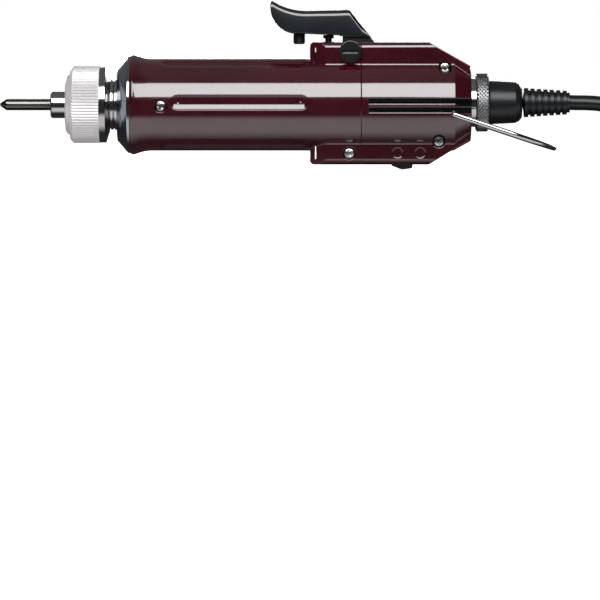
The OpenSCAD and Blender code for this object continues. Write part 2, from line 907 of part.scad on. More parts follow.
module ball_pockets() {
    on_circle(planets, ball_circle_r) translate([ball_x, 0, 0]) sphere(ball_r + run_gap);
}

module clutch_plate() {
    color("#9a9da2") difference() {
        rod(cam_r, plate_x, plate_x + plate_t);
        intersection() {
            rod(spindle_r + run_gap, plate_x - 1, plate_x + plate_t + 1);
            flats(run_gap);
        }
        ball_pockets();
    }
}

module clutch_balls() {
    color("#c6c8cc") on_circle(planets, ball_circle_r) translate([ball_x, 0, 0]) sphere(ball_r);
}

module planet_carrier() {
    color("#8a8e94") difference() {
        union() {
            rod(cam_r, cam_x, carrier_end);
            on_circle(planets, planet_circle_r) rod(planet_pin_r, carrier_end - 1, gear_end + 0.2);
        }
        rod(pilot_r + run_gap, cam_x - 1, cam_x + pilot_len + 0.2);
        ball_pockets();
    }
}

// With 12, 18 and 48 teeth each planet stands half a tooth on from the pinion
module planet_gear(index) {
    a = 360 * index / planets;
    centre = planet_circle_r * [cos(a), sin(a)];
    color("#c2a15a") difference() {
        along(gear_x, gear_end)
            translate(centre) rotate(180 / planet_teeth) external_gear(planet_teeth);
        translate([0, centre[0], centre[1]])
            rod(planet_pin_r + run_gap, gear_x - 1, gear_end + 1);
    }
}

module planet_gear_1() {
    planet_gear(0);
}

module planet_gear_2() {
    planet_gear(1);
}

module planet_gear_3() {
    planet_gear(2);
}

module ring_gear() {
    color("#9a9fa5") difference() {
        rod(housing_r, ring_x, ring_end);
        along(ring_x - 1, ring_end + 1) rotate(180 / ring_teeth) polygon(
            gear_points(ring_teeth, ring_r - 0.85 * tooth_m, ring_r + 1.2 * tooth_m, play(ring_r))
        );
    }
}

module motor_pinion() {
    color("#c2a15a") difference() {
        along(gear_x, gear_end) external_gear(sun_teeth);
        rod(shaft_r, gear_x - 1, gear_end + 1);
    }
}

// ---- motor ----

module motor_plate() {
    color("#8a8e94") pipe(housing_r, sun_r + 1.2, ring_end, motor_x);
}

module motor_can() {
    color("#7b7f85") turned([
        [bearing_r, motor_x], [motor_r, motor_x], [motor_r, motor_end],
        [motor_r - can_wall, motor_end], [motor_r - can_wall, motor_x + can_wall],
        [bearing_r, motor_x + can_wall]
    ]);
}

magnet_angle = 130;

module motor_magnets() {
    color("#3a3c40") for (a = [-magnet_angle / 2, 180 - magnet_angle / 2])
        rotate([a + 90, 0, 0]) rotate([0, 90, 0]) rotate_extrude(angle = magnet_angle) polygon([
            [magnet_r, core_x], [motor_r - can_wall, core_x],
            [motor_r - can_wall, core_x + core_len], [magnet_r, core_x + core_len]
        ]);
}

module motor_bearings() {
    color("#b08d4f") {
        pipe(bearing_r, shaft_r + run_gap, motor_x, motor_x + front_bearing_len);
        pipe(bearing_r, shaft_r + run_gap, motor_end + 2, motor_end + cap_t);
    }
}

module rotor_shaft() {
    color("#b9bcc0") rod(shaft_r, gear_x, shaft_end);
}

module rotor_core() {
    slot_circle = core_r - 2.6;
    color("#8a5a3a") difference() {
        union() {
            along(core_x, core_x + core_len) difference() {
                circle(core_r);
                for (k = [0 : rotor_slots - 1])
                    rotate(360 * k / rotor_slots) {
                        translate([slot_circle, 0]) circle(1.3);
                        translate([slot_circle, -0.4]) square([4, 0.8]);
                    }
            }
            for (x = [core_x - 2.5, core_x + core_len])
                rod(core_r - 1.4, x, x + 2.5);
        }
        rod(shaft_r, core_x - 5, core_x + core_len + 5);
    }
}

module commutator() {
    color("#b56b3f") difference() {
        pipe(commutator_r, shaft_r, commutator_x, commutator_x + commutator_len);
        for (k = [0 : rotor_slots - 1])
            rotate([360 * k / rotor_slots, 0, 0])
                block([commutator_x - 1, -0.2, commutator_r - 0.5],
                      [commutator_x + commutator_len + 1, 0.2, commutator_r + 1]);
    }
}

brush_w = 3.6;
brush_x0 = commutator_x + 1;
brush_x1 = commutator_x + commutator_len - 1;
brush_r0 = commutator_r + face_gap;
brush_r1 = 9;

module brushes() {
    color("#2c2c2e") for (s = [0, 180])
        rotate([s, 0, 0]) block([brush_x0, -brush_w / 2, brush_r0], [brush_x1, brush_w / 2, brush_r1]);
}

module motor_end_cap() {
    color("#2f3338") {
        difference() {
            rod(motor_r, motor_end, motor_end + cap_t);
            rod(shaft_r + 0.5, motor_end - 1, motor_end + cap_t + 1);
            rod(bearing_r, motor_end + 2, motor_end + cap_t + 1);
        }
        for (s = [0, 180])
            rotate([s, 0, 0]) difference() {
                block([brush_x0 - 1, -brush_w / 2 - 1, brush_r0 + 0.8],
                      [motor_end + 0.5, brush_w / 2 + 1, brush_r1 + 1]);
                block([brush_x0, -brush_w / 2, 0], [brush_x1, brush_w / 2, brush_r1]);
            }
    }
}

// ---- lever and switches ----

pad_front_z = 7.2;
pad_rear_z = 6.6;
pad_top_z = 16;
hook_r = 10.3;
dish_r = 24;
hook_x = -20.8;
dish_x = -17.1;
hub_r = 3.3;

// Side outline of the lever about its pivot: hooked front, dished top, leg down to the hub
module lever_outline() {
    polygon(concat(
        arc([hook_x, pad_front_z + hook_r], hook_r, 176, 270, 8),
        [[-17.5, pad_front_z], [-4.4, pad_rear_z], [-3.1, 5], [-hub_r, 0], [0, -hub_r]],
        [[5.6, -1.2], [9.4, 3.9], [0, 16.1], [-0.9, 16.4], [-5.3, 16.2]],
        arc([dish_x, pad_top_z + dish_r], dish_r, 270, 237, 6)
    ));
    circle(hub_r);
}

module start_lever() {
    color("#10161c") difference() {
        translate([pivot_x, 0, pivot_z]) {
            intersection() {
                across(lever_w) lever_outline();
                block([-40, -20, keel_top - pivot_z + 2], [20, 20, 40]);
            }
            across(leg_w) intersection() {
                lever_outline();
                translate([-6, -10]) square([20, 26]);
            }
        }
        cross(pivot_r + run_gap, pivot_x, pivot_z, -lever_w, lever_w);
        block([pivot_x - 4, -2, pivot_z - 4], [pivot_x + 3.8, 2, pivot_z + 3.6]);
        translate([peg_x, 0, 0]) cylinder(r = peg_d / 2, h = pivot_z + pad_front_z + 3);
    }
}

module stop_peg() {
    top = pivot_z + pad_front_z + 3;
    low = keel_top - 0.6;
    color("#1a1c1f") translate([peg_x, 0, low]) {
        cylinder(r = peg_d / 2 - 0.4, h = 1);
        translate([0, 0, 0.4]) cylinder(r = peg_d / 2, h = top - low - 0.4);
    }
}

module lever_pivot() {
    color("#a8abb0") cross(pivot_r, pivot_x, pivot_z, -top_w / 2, top_w / 2);
}

module pivot_knob() {
    face = top_w / 2 + 2.2;
    color("#101214") difference() {
        cross(knob_d / 2, pivot_x, pivot_z, -face, -top_w / 2);
        block([pivot_x - 3, -face - 1, pivot_z - 0.5], [pivot_x + 3, -face + 0.8, pivot_z + 0.5]);
    }
}

module lever_spring() {
    r = pivot_r + 0.4;
    color("#5c6066") tube(
        [for (i = [0 : 36]) [pivot_x + r * cos(30 * i), -1.5 + i / 12, pivot_z + r * sin(30 * i)]],
        0.3, 6, [0, 1, 0]
    );
}

guide_r = 2;
guide_flange = 0.3;
plunger_travel = 1.26;
plunger_top = pivot_z + pad_rear_z + 0.04;

module switch_plunger() {
    cap_low = keel_top + guide_flange + plunger_travel + face_gap;
    color("#16191d") translate([plunger_x, 0, 0]) {
        translate([0, 0, switch_z + switch_h])
            cylinder(r = plunger_r, h = plunger_top - switch_z - switch_h);
        translate([0, 0, cap_low]) cylinder(r = plunger_r + 0.8, h = plunger_top - cap_low);
    }
}

module plunger_guide() {
    color("#16191d") translate([plunger_x, 0, keel_top - keel_wall]) difference() {
        union() {
            cylinder(r = guide_r, h = keel_wall + guide_flange);
            translate([0, 0, keel_wall]) cylinder(r = guide_r + 0.6, h = guide_flange);
        }
        translate([0, 0, -1]) cylinder(r = plunger_r + run_gap, h = keel_wall + 3);
    }
}

module start_switch() {
    color("#1f2428") difference() {
        block([switch_x, -3, switch_z], [switch_x + switch_len, 3, switch_z + switch_h]);
        translate([plunger_x, 0, switch_z + switch_h - 1.6]) cylinder(r = plunger_r + 0.2, h = 3);
    }
}

rocker_pin_r = 0.8;
rocker_pin_y = rocker_w / 2 + 1.2;

module reverse_rocker() {
    half = rocker_len / 2;
    color("#0f1114") translate([rocker_x, 0, rocker_z]) rotate([0, rocker_tilt, 0]) {
        across(rocker_w) {
            polygon([
                [-half, -1.4], [-half, -3.9], [0, -rocker_drop], [half, -3.9], [half, -1.4],
                [1.5, 0], [-1.5, 0]
            ]);
            circle(1.5);
        }
        rotate([90, 0, 0]) cylinder(r = rocker_pin_r, h = 2 * rocker_pin_y, center = true);
    }
}

module reverse_switch() {
    floor = keel_wall - keel_low;
    color("#1f2428") difference() {
        block([rocker_x - reverse_len / 2, -rocker_pin_y - 0.5, floor],
              [rocker_x + reverse_len / 2, rocker_pin_y + 0.5, -reverse_top]);
        block([rocker_x - rocker_room / 2, -rocker_w / 2 - move_gap, floor - 1],
              [rocker_x + rocker_room / 2, rocker_w / 2 + move_gap, rocker_z + 1.9]);
        cross(rocker_pin_r + run_gap, rocker_x, rocker_z, -rocker_pin_y - 0.1, rocker_pin_y + 0.1);
    }
}

module circuit_board() {
    top = board_z + board_t;
    color("#2f6b3a") {
        block([board_x, -board_w / 2, board_z], [board_x + board_len, board_w / 2, top]);
        translate([board_x + 5, -4, top]) cylinder(r = 3, h = 5);
        translate([board_x + 12.5, -4, top]) cylinder(r = 2.5, h = 4);
        block([board_x + 4, 2, top], [board_x + 12, 7, top + 2.2]);
        block([board_x + 16, 0, top], [board_x + 20, 8, top + 1.6]);
    }
}

// ---- screws ----

module screw(y0, length) {
    translate([0, y0, 0]) rotate([-90, 0, 0]) {
        cylinder(r = head_r, h = head_h);
        cylinder(r = screw_r, h = length);
    }
}

module keel_screws() {
    color("#b9bcc0") for (place = long_screws)
        translate([place[0], 0, place[1]])
            screw(0.2 - place[2], place[2] - 0.2 + screw_reach);
}

module nose_screws() {
    color("#b9bcc0") for (a = [0, 180])
        translate([nose_screw_x, 0, nose_screw_z]) rotate([0, 0, a])
            screw(-nose_head_y, nose_head_y - chamber_r - 0.3);
}

// ---- tail, plug and bail ----

socket_shank_r = 7.4;

module tail_socket() {
    flange_x1 = rear_x + flange_socket_t;
    color("#b4b7bb") translate([0, 0, socket_z]) turned([
        [0, rear_x - 8], [socket_shank_r, rear_x - 8], [socket_shank_r, rear_x],
        [socket_d / 2, rear_x], [socket_d / 2, flange_x1], [socket_r, flange_x1],
        [socket_r, ring_x1 - 0.6], [cup_r, ring_x1 - 0.6], [cup_r, ring_x0 + 1], [0, ring_x0 + 1]
    ]);
}

ring_knurl = 40;

module locking_ring() {
    r = ring_d / 2;
    color("#a9acb0") translate([0, 0, socket_z]) difference() {
        along(ring_x0, ring_x1) polygon([
            for (i = [0 : 2 * ring_knurl - 1])
                let (a = 180 * i / ring_knurl)
                (i % 2 == 0 ? r : r - 0.3) * [cos(a), sin(a)]
        ]);
        rod(socket_r + run_gap, ring_x0 - 1, ring_x1 + 1);
    }
}

module plug_body() {
    r = plug_d / 2;
    color("#14181c") translate([0, 0, socket_z]) turned([
        [0, ring_x0 + 1], [cup_r, ring_x0 + 1], [cup_r, plug_x], [r - 0.3, plug_x], [r, plug_x + 0.4],
        [r - 0.5, plug_end - 2.6], [r - 1.3, plug_end - 1], [r - 2.6, plug_end], [0, plug_end]
    ]);
}

function rib_r(k) = relief_d / 2 + (relief_end_d - relief_d) / 2 * k / max(1, relief_ribs - 1);

module strain_relief() {
    rib_w = relief_pitch * 0.62;
    core = 0.8;
    color("#14181c") translate([0, 0, socket_z]) turned(concat(
        [[0, plug_end]],
        [
            for (k = [0 : relief_ribs - 1], e = [0 : 3])
                [rib_r(k) - (e == 0 || e == 3 ? core : 0),
                 plug_end + relief_pitch * (k + 1) - (e < 2 ? rib_w : 0)]
        ],
        [[rib_r(relief_ribs - 1) - core, relief_end], [0, relief_end]]
    ));
}

module hanging_bail() {
    straight = bail_len - bail_half - bail_r;
    stub = 4.2;
    color("#c6c8cc") translate([bail_x, 0, bail_z]) rotate([0, bail_angle, 0]) {
        for (s = [-1, 1])
            translate([0, s * bail_half, 0]) {
                sphere(bail_r);
                rod(bail_r, 0, straight);
                rotate([s * 90, 0, 0]) cylinder(r = bail_r, h = stub);
            }
        translate([straight, 0, 0]) rotate([0, 0, -90])
            rotate_extrude(angle = 180) translate([bail_half, 0]) circle(bail_r);
    }
}

// ---- cord ----

module cord() {
    color("#15191d") tube(cord_lead, cord_d / 2, 10, [0, 0, 1]);
}

module hank_outline(r) {
    translate([hank_x0, -r]) square([hank_run, 2 * r]);
    for (x = [hank_x0, hank_x0 + hank_run])
        translate([x, 0]) circle(r);
}

module cord_hank() {
    color("#15191d") translate([0, 0, floor_z]) linear_extrude(hank_h) difference() {
        hank_outline(hank_bend + cord_d / 2);
        hank_outline(hank_bend - cord_d / 2);
    }
}

module cord_tail() {
    color("#15191d") tube(cord_end, cord_d / 2, 10, [0, 0, 1]);
}

module power_plug_boot() {
    end = power_plug_x + power_boot_len;
    color("#14181c") translate([0, 0, power_plug_z]) turned([
        [0, power_plug_x], [cord_d / 2 + 0.8, power_plug_x],
        [cord_d / 2 + 1.2, power_plug_x + 6], [power_boot_r - 0.6, power_plug_x + 8],
        [power_boot_r, power_plug_x + 9.5], [power_boot_r, end], [0, end]
    ]);
}

module power_plug() {
    x0 = power_plug_x + power_boot_len;
    x1 = x0 + power_shell_len;
    color("#b4b7bb") translate([0, 0, power_plug_z]) {
        turned([
            [0, x0], [power_shell_r, x0], [power_shell_r, x1], [power_shell_r - 0.8, x1],
            [power_shell_r - 0.8, x1 - 8], [0, x1 - 8]
        ]);
        on_circle(5, 3.9) rod(0.5, x1 - 8.5, x1 - 1.5);
    }
}

front_casing_left();
front_casing_right();
rear_casing_left();
rear_casing_right();
nose_cone();
clutch_housing();
torque_nut();
thrust_ring();
push_pins();
spring_seat();
torque_spring();
thrust_bearing();
spindle_bush();
spindle();
bit();
chuck_sleeve();
chuck_balls();
chuck_spring();
chuck_clip();
clutch_plate();
clutch_balls();
planet_carrier();
planet_gear_1();
planet_gear_2();
planet_gear_3();
ring_gear();
motor_pinion();
motor_plate();
motor_can();
motor_magnets();
motor_bearings();
rotor_shaft();
rotor_core();
commutator();
brushes();
motor_end_cap();
start_lever();
stop_peg();
lever_pivot();
pivot_knob();
lever_spring();
switch_plunger();
plunger_guide();
start_switch();
reverse_rocker();
reverse_switch();
circuit_board();
keel_screws();
nose_screws();
tail_socket();
locking_ring();
plug_body();
strain_relief();
hanging_bail();
cord();
cord_hank();
cord_tail();
power_plug();
power_plug_boot();
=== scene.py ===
"""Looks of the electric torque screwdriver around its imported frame, laid out as an add-on."""

import math

import bmesh
import bpy
from bpy.props import FloatProperty, FloatVectorProperty, IntProperty, PointerProperty
from mathutils import Matrix, Vector


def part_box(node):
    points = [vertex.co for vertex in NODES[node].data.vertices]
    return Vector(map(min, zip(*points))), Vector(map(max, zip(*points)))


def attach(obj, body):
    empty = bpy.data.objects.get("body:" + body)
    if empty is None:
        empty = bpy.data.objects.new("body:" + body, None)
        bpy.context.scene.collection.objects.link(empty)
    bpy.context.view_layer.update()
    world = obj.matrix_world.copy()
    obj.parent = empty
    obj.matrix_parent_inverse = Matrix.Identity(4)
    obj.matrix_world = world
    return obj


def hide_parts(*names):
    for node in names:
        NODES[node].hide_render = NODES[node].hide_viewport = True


bl_info = {
    "name": "Torque Screwdriver Looks",
    "version": (1, 0, 0),
    "blender": (4, 5, 0),
    "location": "View3D > Sidebar > Torque Driver",
    "description": "Finishes, cord, screws and stage for an electric torque screwdriver",
    "category": "Object",
}

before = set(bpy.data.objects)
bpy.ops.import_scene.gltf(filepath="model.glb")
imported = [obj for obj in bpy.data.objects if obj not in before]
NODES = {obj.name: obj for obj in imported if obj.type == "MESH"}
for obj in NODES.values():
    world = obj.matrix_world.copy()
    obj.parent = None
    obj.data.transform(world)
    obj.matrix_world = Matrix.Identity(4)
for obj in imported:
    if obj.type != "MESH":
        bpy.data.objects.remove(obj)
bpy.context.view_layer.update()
MM = 0.001

FLOOR_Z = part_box("cord_hank")[0].z
PIVOT = Vector((116.6, 0, 20.5)) * MM
SOCKET_Z = 0.8 * MM
CORD_EXIT_X = 0.2022
RING_BORE = 8.05 * MM
STRAP_WIDTH, STRAP_THICK, STRAP_ROUND = 9 * MM, 0.6 * MM, 1.2 * MM
STRAP_RIGHT_X, STRAP_LEFT_X = 0.335, 0.372
SIDE_GROOVE_X, SIDE_GROOVE_Y = 0.1236, 0.0174
FLANGE_X = 0.0191
VIEW_CENTRE_X, VIEW_DROP = 0.0971, 0.0762
FLOOR_HALF = 4.0


# ---- mesh helpers ----


def new_object(name, mesh):
    obj = bpy.data.objects.new(name, mesh)
    bpy.context.scene.collection.objects.link(obj)
    return obj


def mesh_object(name, verts, faces, smooth=True):
    mesh = bpy.data.meshes.new(name)
    mesh.from_pydata([tuple(v) for v in verts], [], faces)
    mesh.update()
    mesh.polygons.foreach_set("use_smooth", [smooth] * len(mesh.polygons))
    return new_object(name, mesh)


def lathe(name, profile, segments, axis_z=0.0):
    """A closed ring turned about the tool's axis from (x, radius) points."""
    verts, faces, n = [], [], len(profile)
    for s in range(segments):
        a = 2 * math.pi * s / segments
        for x, r in profile:
            verts.append((x, r * math.cos(a), axis_z + r * math.sin(a)))
    for s in range(segments):
        t = (s + 1) % segments
        for i in range(n):
            j = (i + 1) % n
            faces.append((s * n + i, s * n + j, t * n + j, t * n + i))
    return mesh_object(name, verts, faces)


def extruded(name, outline, width, smooth=False):
    """A side outline of (x, z) points made solid across the tool."""
    n = len(outline)
    verts = [(x, y, z) for y in (-width / 2, width / 2) for x, z in outline]
    faces = [tuple(range(n - 1, -1, -1)), tuple(range(n, 2 * n))]
    faces += [(i, (i + 1) % n, n + (i + 1) % n, n + i) for i in range(n)]
    return mesh_object(name, verts, faces, smooth)


def outward(obj):
    mesh = bmesh.new()
    mesh.from_mesh(obj.data)
    bmesh.ops.recalc_face_normals(mesh, faces=mesh.faces)
    mesh.to_mesh(obj.data)
    mesh.free()


def applied(obj):
    """Turns an object's modifiers into a plain mesh."""
    bpy.context.view_layer.update()
    graph = bpy.context.evaluated_depsgraph_get()
    mesh = bpy.data.meshes.new_from_object(obj.evaluated_get(graph))
    obj.modifiers.clear()
    obj.data = mesh
    return obj


def bevelled(obj, width, segments=3, angle=35):
    outward(obj)
    bevel = obj.modifiers.new("Rounded edges", "BEVEL")
    bevel.width = width
    bevel.segments = segments
    bevel.limit_method = "ANGLE"
    bevel.angle_limit = math.radians(angle)
    bevel.harden_normals = False
    applied(obj)
    obj.data.polygons.foreach_set("use_smooth", [True] * len(obj.data.polygons))
    obj.data.set_sharp_from_angle(angle=math.radians(40))
    return obj


def joined(name, parts):
    mesh = bmesh.new()
    for part in parts:
        mesh.from_mesh(part.data)
    data = bpy.data.meshes.new(name)
    mesh.to_mesh(data)
    mesh.free()
    for part in parts:
        bpy.data.objects.remove(part)
    data.set_sharp_from_angle(angle=math.radians(40))
    return new_object(name, data)


def paint(obj, material):
    obj.data.materials.clear()
    obj.data.materials.append(material)


# ---- shader groups ----


def srgb(r, g, b):
    """A colour written as 0 to 255, in the renderer's linear values."""
    channels = [c / 255 for c in (r, g, b)]
    return [c / 12.92 if c <= 0.04045 else ((c + 0.055) / 1.055) ** 2.4 for c in channels] + [1.0]


def group(name, inputs, outputs):
    tree = bpy.data.node_groups.new(name, "ShaderNodeTree")
    for socket, kind, value in inputs:
        item = tree.interface.new_socket(socket, in_out="INPUT", socket_type=kind)
        item.default_value = value
    for socket, kind in outputs:
        tree.interface.new_socket(socket, in_out="OUTPUT", socket_type=kind)
    return tree, tree.nodes.new("NodeGroupInput"), tree.nodes.new("NodeGroupOutput")


def fine_grain_group():
    """Moulded or blasted grain: a height and a slow variation of roughness."""
    tree, given, out = group(
        "Fine Grain",
        [("Vector", "NodeSocketVector", (0, 0, 0)), ("Scale", "NodeSocketFloat", 1500.0),
         ("Roughness", "NodeSocketFloat", 0.3), ("Spread", "NodeSocketFloat", 0.1)],
        [("Height", "NodeSocketFloat"), ("Roughness", "NodeSocketFloat")],
    )
    fine = tree.nodes.new("ShaderNodeTexNoise")
    fine.inputs["Detail"].default_value = 3
    slow = tree.nodes.new("ShaderNodeTexNoise")
    slow.inputs["Scale"].default_value = 60
    spread = tree.nodes.new("ShaderNodeMath")
    spread.operation = "MULTIPLY_ADD"
    centred = tree.nodes.new("ShaderNodeMath")
    centred.operation = "SUBTRACT"
    centred.inputs[1].default_value = 0.5
    link = tree.links.new
    link(given.outputs["Vector"], fine.inputs["Vector"])
    link(given.outputs["Scale"], fine.inputs["Scale"])
    link(given.outputs["Vector"], slow.inputs["Vector"])
    link(slow.outputs[0], centred.inputs[0])
    link(centred.outputs[0], spread.inputs[0])
    link(given.outputs["Spread"], spread.inputs[1])
    link(given.outputs["Roughness"], spread.inputs[2])
    link(fine.outputs[0], out.inputs["Height"])
    link(spread.outputs[0], out.inputs["Roughness"])
    return tree


def colour_drift_group():
    """A slow drift between two tones, as in a moulding or a worn plating."""
    tree, given, out = group(
        "Colour Drift",
        [("Vector", "NodeSocketVector", (0, 0, 0)), ("Scale", "NodeSocketFloat", 80.0),
         ("Tone A", "NodeSocketColor", (0.5, 0.5, 0.5, 1)),
         ("Tone B", "NodeSocketColor", (0.4, 0.4, 0.4, 1))],
        [("Color", "NodeSocketColor")],
    )
    noise = tree.nodes.new("ShaderNodeTexNoise")
    noise.inputs["Detail"].default_value = 5
    ramp = tree.nodes.new("ShaderNodeMapRange")
    ramp.inputs["From Min"].default_value = 0.35
    ramp.inputs["From Max"].default_value = 0.65
    mix = tree.nodes.new("ShaderNodeMix")
    mix.data_type = "RGBA"
    link = tree.links.new
    link(given.outputs["Vector"], noise.inputs["Vector"])
    link(given.outputs["Scale"], noise.inputs["Scale"])
    link(noise.outputs[0], ramp.inputs["Value"])
    link(ramp.outputs[0], mix.inputs["Factor"])
    link(given.outputs["Tone A"], mix.inputs[6])
    link(given.outputs["Tone B"], mix.inputs[7])
    link(mix.outputs[2], out.inputs["Color"])
    return tree


def turned_marks_group():
    """Fine rings left by a lathe, running round the tool's axis."""
    tree, given, out = group(
        "Turned Marks",
        [("Vector", "NodeSocketVector", (0, 0, 0)), ("Fineness", "NodeSocketFloat", 4000.0)],
        [("Height", "NodeSocketFloat")],
    )
    split = tree.nodes.new("ShaderNodeSeparateXYZ")
    across = tree.nodes.new("ShaderNodeCombineXYZ")
    square_y, square_z, total, radius = (tree.nodes.new("ShaderNodeMath") for _ in range(4))
    square_y.operation = square_z.operation = "MULTIPLY"
    total.operation = "ADD"
    radius.operation = "SQRT"
    noise = tree.nodes.new("ShaderNodeTexNoise")
    noise.inputs["Detail"].default_value = 2
    link = tree.links.new
    link(given.outputs["Vector"], split.inputs[0])
    for axis, node in (("Y", square_y), ("Z", square_z)):
        link(split.outputs[axis], node.inputs[0])
        link(split.outputs[axis], node.inputs[1])
    link(square_y.outputs[0], total.inputs[0])
    link(square_z.outputs[0], total.inputs[1])
    link(total.outputs[0], radius.inputs[0])
    link(split.outputs["X"], across.inputs["X"])
    link(radius.outputs[0], across.inputs["Y"])
    link(across.outputs[0], noise.inputs["Vector"])
    link(given.outputs["Fineness"], noise.inputs["Scale"])
    link(noise.outputs[0], out.inputs["Height"])
    return tree


GROUPS = {}


def shared(name):
    makers = {"grain": fine_grain_group, "drift": colour_drift_group, "turned": turned_marks_group}
    if name not in GROUPS:
        GROUPS[name] = makers[name]()
    return GROUPS[name]


def placed(tree, name):
    node = tree.nodes.new("ShaderNodeGroup")
    node.node_tree = shared(name)
    return node


class Finish:
    """One material: two tones that drift, grain or turned marks, and a Principled shader."""

    def __init__(self, name, tones, roughness, spread=0.06, metallic=0.0, bump=0.02,
                 grain=1500.0, turned=None, drift=80.0, edge=0.0):
        self.material = bpy.data.materials.new(name)
        self.material.use_nodes = True
        self.tree = self.material.node_tree
        self.shader = self.tree.nodes["Principled BSDF"]
        self.place = self.tree.nodes.new("ShaderNodeTexCoord")
        self.vector = self.place.outputs["Object"]
        link = self.tree.links.new
        self.tone = placed(self.tree, "drift")
        self.tone.inputs["Scale"].default_value = drift
        self.tone.inputs["Tone A"].default_value = tones[0]
        self.tone.inputs["Tone B"].default_value = tones[1]
        link(self.vector, self.tone.inputs["Vector"])
        link(self.tone.outputs["Color"], self.shader.inputs["Base Color"])
        self.grain = placed(self.tree, "grain")
        self.grain.inputs["Scale"].default_value = grain
        self.grain.inputs["Roughness"].default_value = roughness
        self.grain.inputs["Spread"].default_value = spread
        link(self.vector, self.grain.inputs["Vector"])
        link(self.grain.outputs["Roughness"], self.shader.inputs["Roughness"])
        height = self.grain.outputs["Height"]
        if turned:
            rings = placed(self.tree, "turned")
            rings.inputs["Fineness"].default_value = turned
            link(self.vector, rings.inputs["Vector"])
            height = rings.outputs["Height"]
        relief = self.tree.nodes.new("ShaderNodeBump")
        relief.inputs["Strength"].default_value = bump
        relief.inputs["Distance"].default_value = 0.0002
        link(height, relief.inputs["Height"])
        if edge:
            rounded = self.tree.nodes.new("ShaderNodeBevel")
            rounded.samples = 8
            rounded.inputs["Radius"].default_value = edge
            link(rounded.outputs["Normal"], relief.inputs["Normal"])
        link(relief.outputs["Normal"], self.shader.inputs["Normal"])
        link(relief.outputs["Normal"], self.shader.inputs["Coat Normal"])
        self.shader.inputs["Metallic"].default_value = metallic

    def coat(self, weight, ior=1.5, roughness=0.03):
        self.shader.inputs["Coat Weight"].default_value = weight
        self.shader.inputs["Coat IOR"].default_value = ior
        self.shader.inputs["Coat Roughness"].default_value = roughness
        return self

    def mask(self, *limits):
        """1 inside every (axis, outside, inside) limit; axis |Y| is the distance from the middle."""
        tree, link = self.tree, self.tree.links.new
        split = tree.nodes.new("ShaderNodeSeparateXYZ")
        link(self.vector, split.inputs[0])
        side = tree.nodes.new("ShaderNodeMath")
        side.operation = "ABSOLUTE"
        link(split.outputs["Y"], side.inputs[0])
        mask = None
        for axis, outside, inside in limits:
            ramp = tree.nodes.new("ShaderNodeMapRange")
            ramp.inputs["From Min"].default_value = outside
            ramp.inputs["From Max"].default_value = inside
            link(side.outputs[0] if axis == "|Y|" else split.outputs[axis], ramp.inputs["Value"])
            if mask is None:
                mask = ramp.outputs[0]
                continue
            product = tree.nodes.new("ShaderNodeMath")
            product.operation = "MULTIPLY"
            link(mask, product.inputs[0])
            link(ramp.outputs[0], product.inputs[1])
            mask = product.outputs[0]
        return mask

    # Mixes the colour to near-black inside the mask: painted dark reflection.
    def painted_dark_where(self, mask):
        mix = self.tree.nodes.new("ShaderNodeMix")
        mix.data_type = "RGBA"
        mix.inputs[7].default_value = srgb(5, 4, 5)
        link = self.tree.links.new
        link(mask, mix.inputs["Factor"])
        link(self.tone.outputs["Color"], mix.inputs[6])
        link(mix.outputs[2], self.shader.inputs["Base Color"])
        return self

    def polished_where(self, mask, metallic, rough):
        """Bare polished metal inside the mask, the given finish outside it."""
        link = self.tree.links.new
        for socket, outside, inside in (("Metallic", metallic, 1.0), ("Roughness", rough, 0.14)):
            mix = self.tree.nodes.new("ShaderNodeMapRange")
            mix.inputs["To Min"].default_value = outside
            mix.inputs["To Max"].default_value = inside
            link(mask, mix.inputs["Value"])
            link(mix.outputs[0], self.shader.inputs[socket])
        return self


# ---- settings ----


def metres(name, description, default):
    return FloatProperty(name=name, description=description, default=default, unit="LENGTH",
                         subtype="DISTANCE")


def colour(name, description, default):
    return FloatVectorProperty(name=name, description=description, default=default, subtype="COLOR",
                               size=4, min=0, max=1)


class FinishSettings(bpy.types.PropertyGroup):
    """Colours of the mouldings and metals."""

    casing: colour("Casing", "Colour of the moulded casings", srgb(52, 8, 18))
    casing_dark: colour("Casing, darker", "Darker tone of the moulded casings", srgb(42, 4, 11))
    plating: colour("Plating", "Colour of the bright plated parts", srgb(214, 212, 214))
    lever: colour("Lever", "Colour of the lever and its knob", srgb(11, 19, 24))
    cord: colour("Cord", "Colour of the cord's jacket", srgb(12, 15, 17))


class CordSettings(bpy.types.PropertyGroup):
    """Size of the cord and its hank."""

    diameter: metres("Diameter", "Diameter of the cord", 0.006)
    length: metres("Length", "Whole length of the cord", 1.5)
    turns: IntProperty(name="Turns", description="Turns of the hank", default=4, min=2, max=5)
    steps: IntProperty(name="Steps", description="Points at each round end of the hank",
                       default=12, min=8, max=32)


class ScrewSettings(bpy.types.PropertyGroup):
    """Size of the casing screws."""

    head: metres("Head", "Diameter of a screw's head", 0.0045)
    height: metres("Head height", "Height of a screw's head", 0.0016)
    shank: metres("Shank", "Diameter of a screw's shank", 0.0025)


class RingSettings(bpy.types.PropertyGroup):
    """Knurl of the locking ring."""

    around: IntProperty(name="Around", description="Points of the knurl round the ring",
                        default=44, min=20, max=80)
    rows: IntProperty(name="Rows", description="Rows of the knurl along the ring", default=6, min=3, max=10)
    depth: metres("Depth", "Height of one point of the knurl", 0.00045)


class LeverSettings(bpy.types.PropertyGroup):
    """Size of the start lever."""

    pad: metres("Pad width", "Width of the lever's pad", 0.013)
    leg: metres("Leg width", "Width of the lever's leg", 0.0096)
    rounding: metres("Rounding", "Rounding of the pad's upper edges", 0.0024)


class StageSettings(bpy.types.PropertyGroup):
    """Camera and light."""

    view_width: metres("View width", "Width that the camera takes in", 0.234)
    distance: metres("Distance", "Distance of the camera from the tool's axis", 1.5)
    key: FloatProperty(name="Key light", description="Power of the key light in watts", default=3.4, min=0)


# ---- cord ----


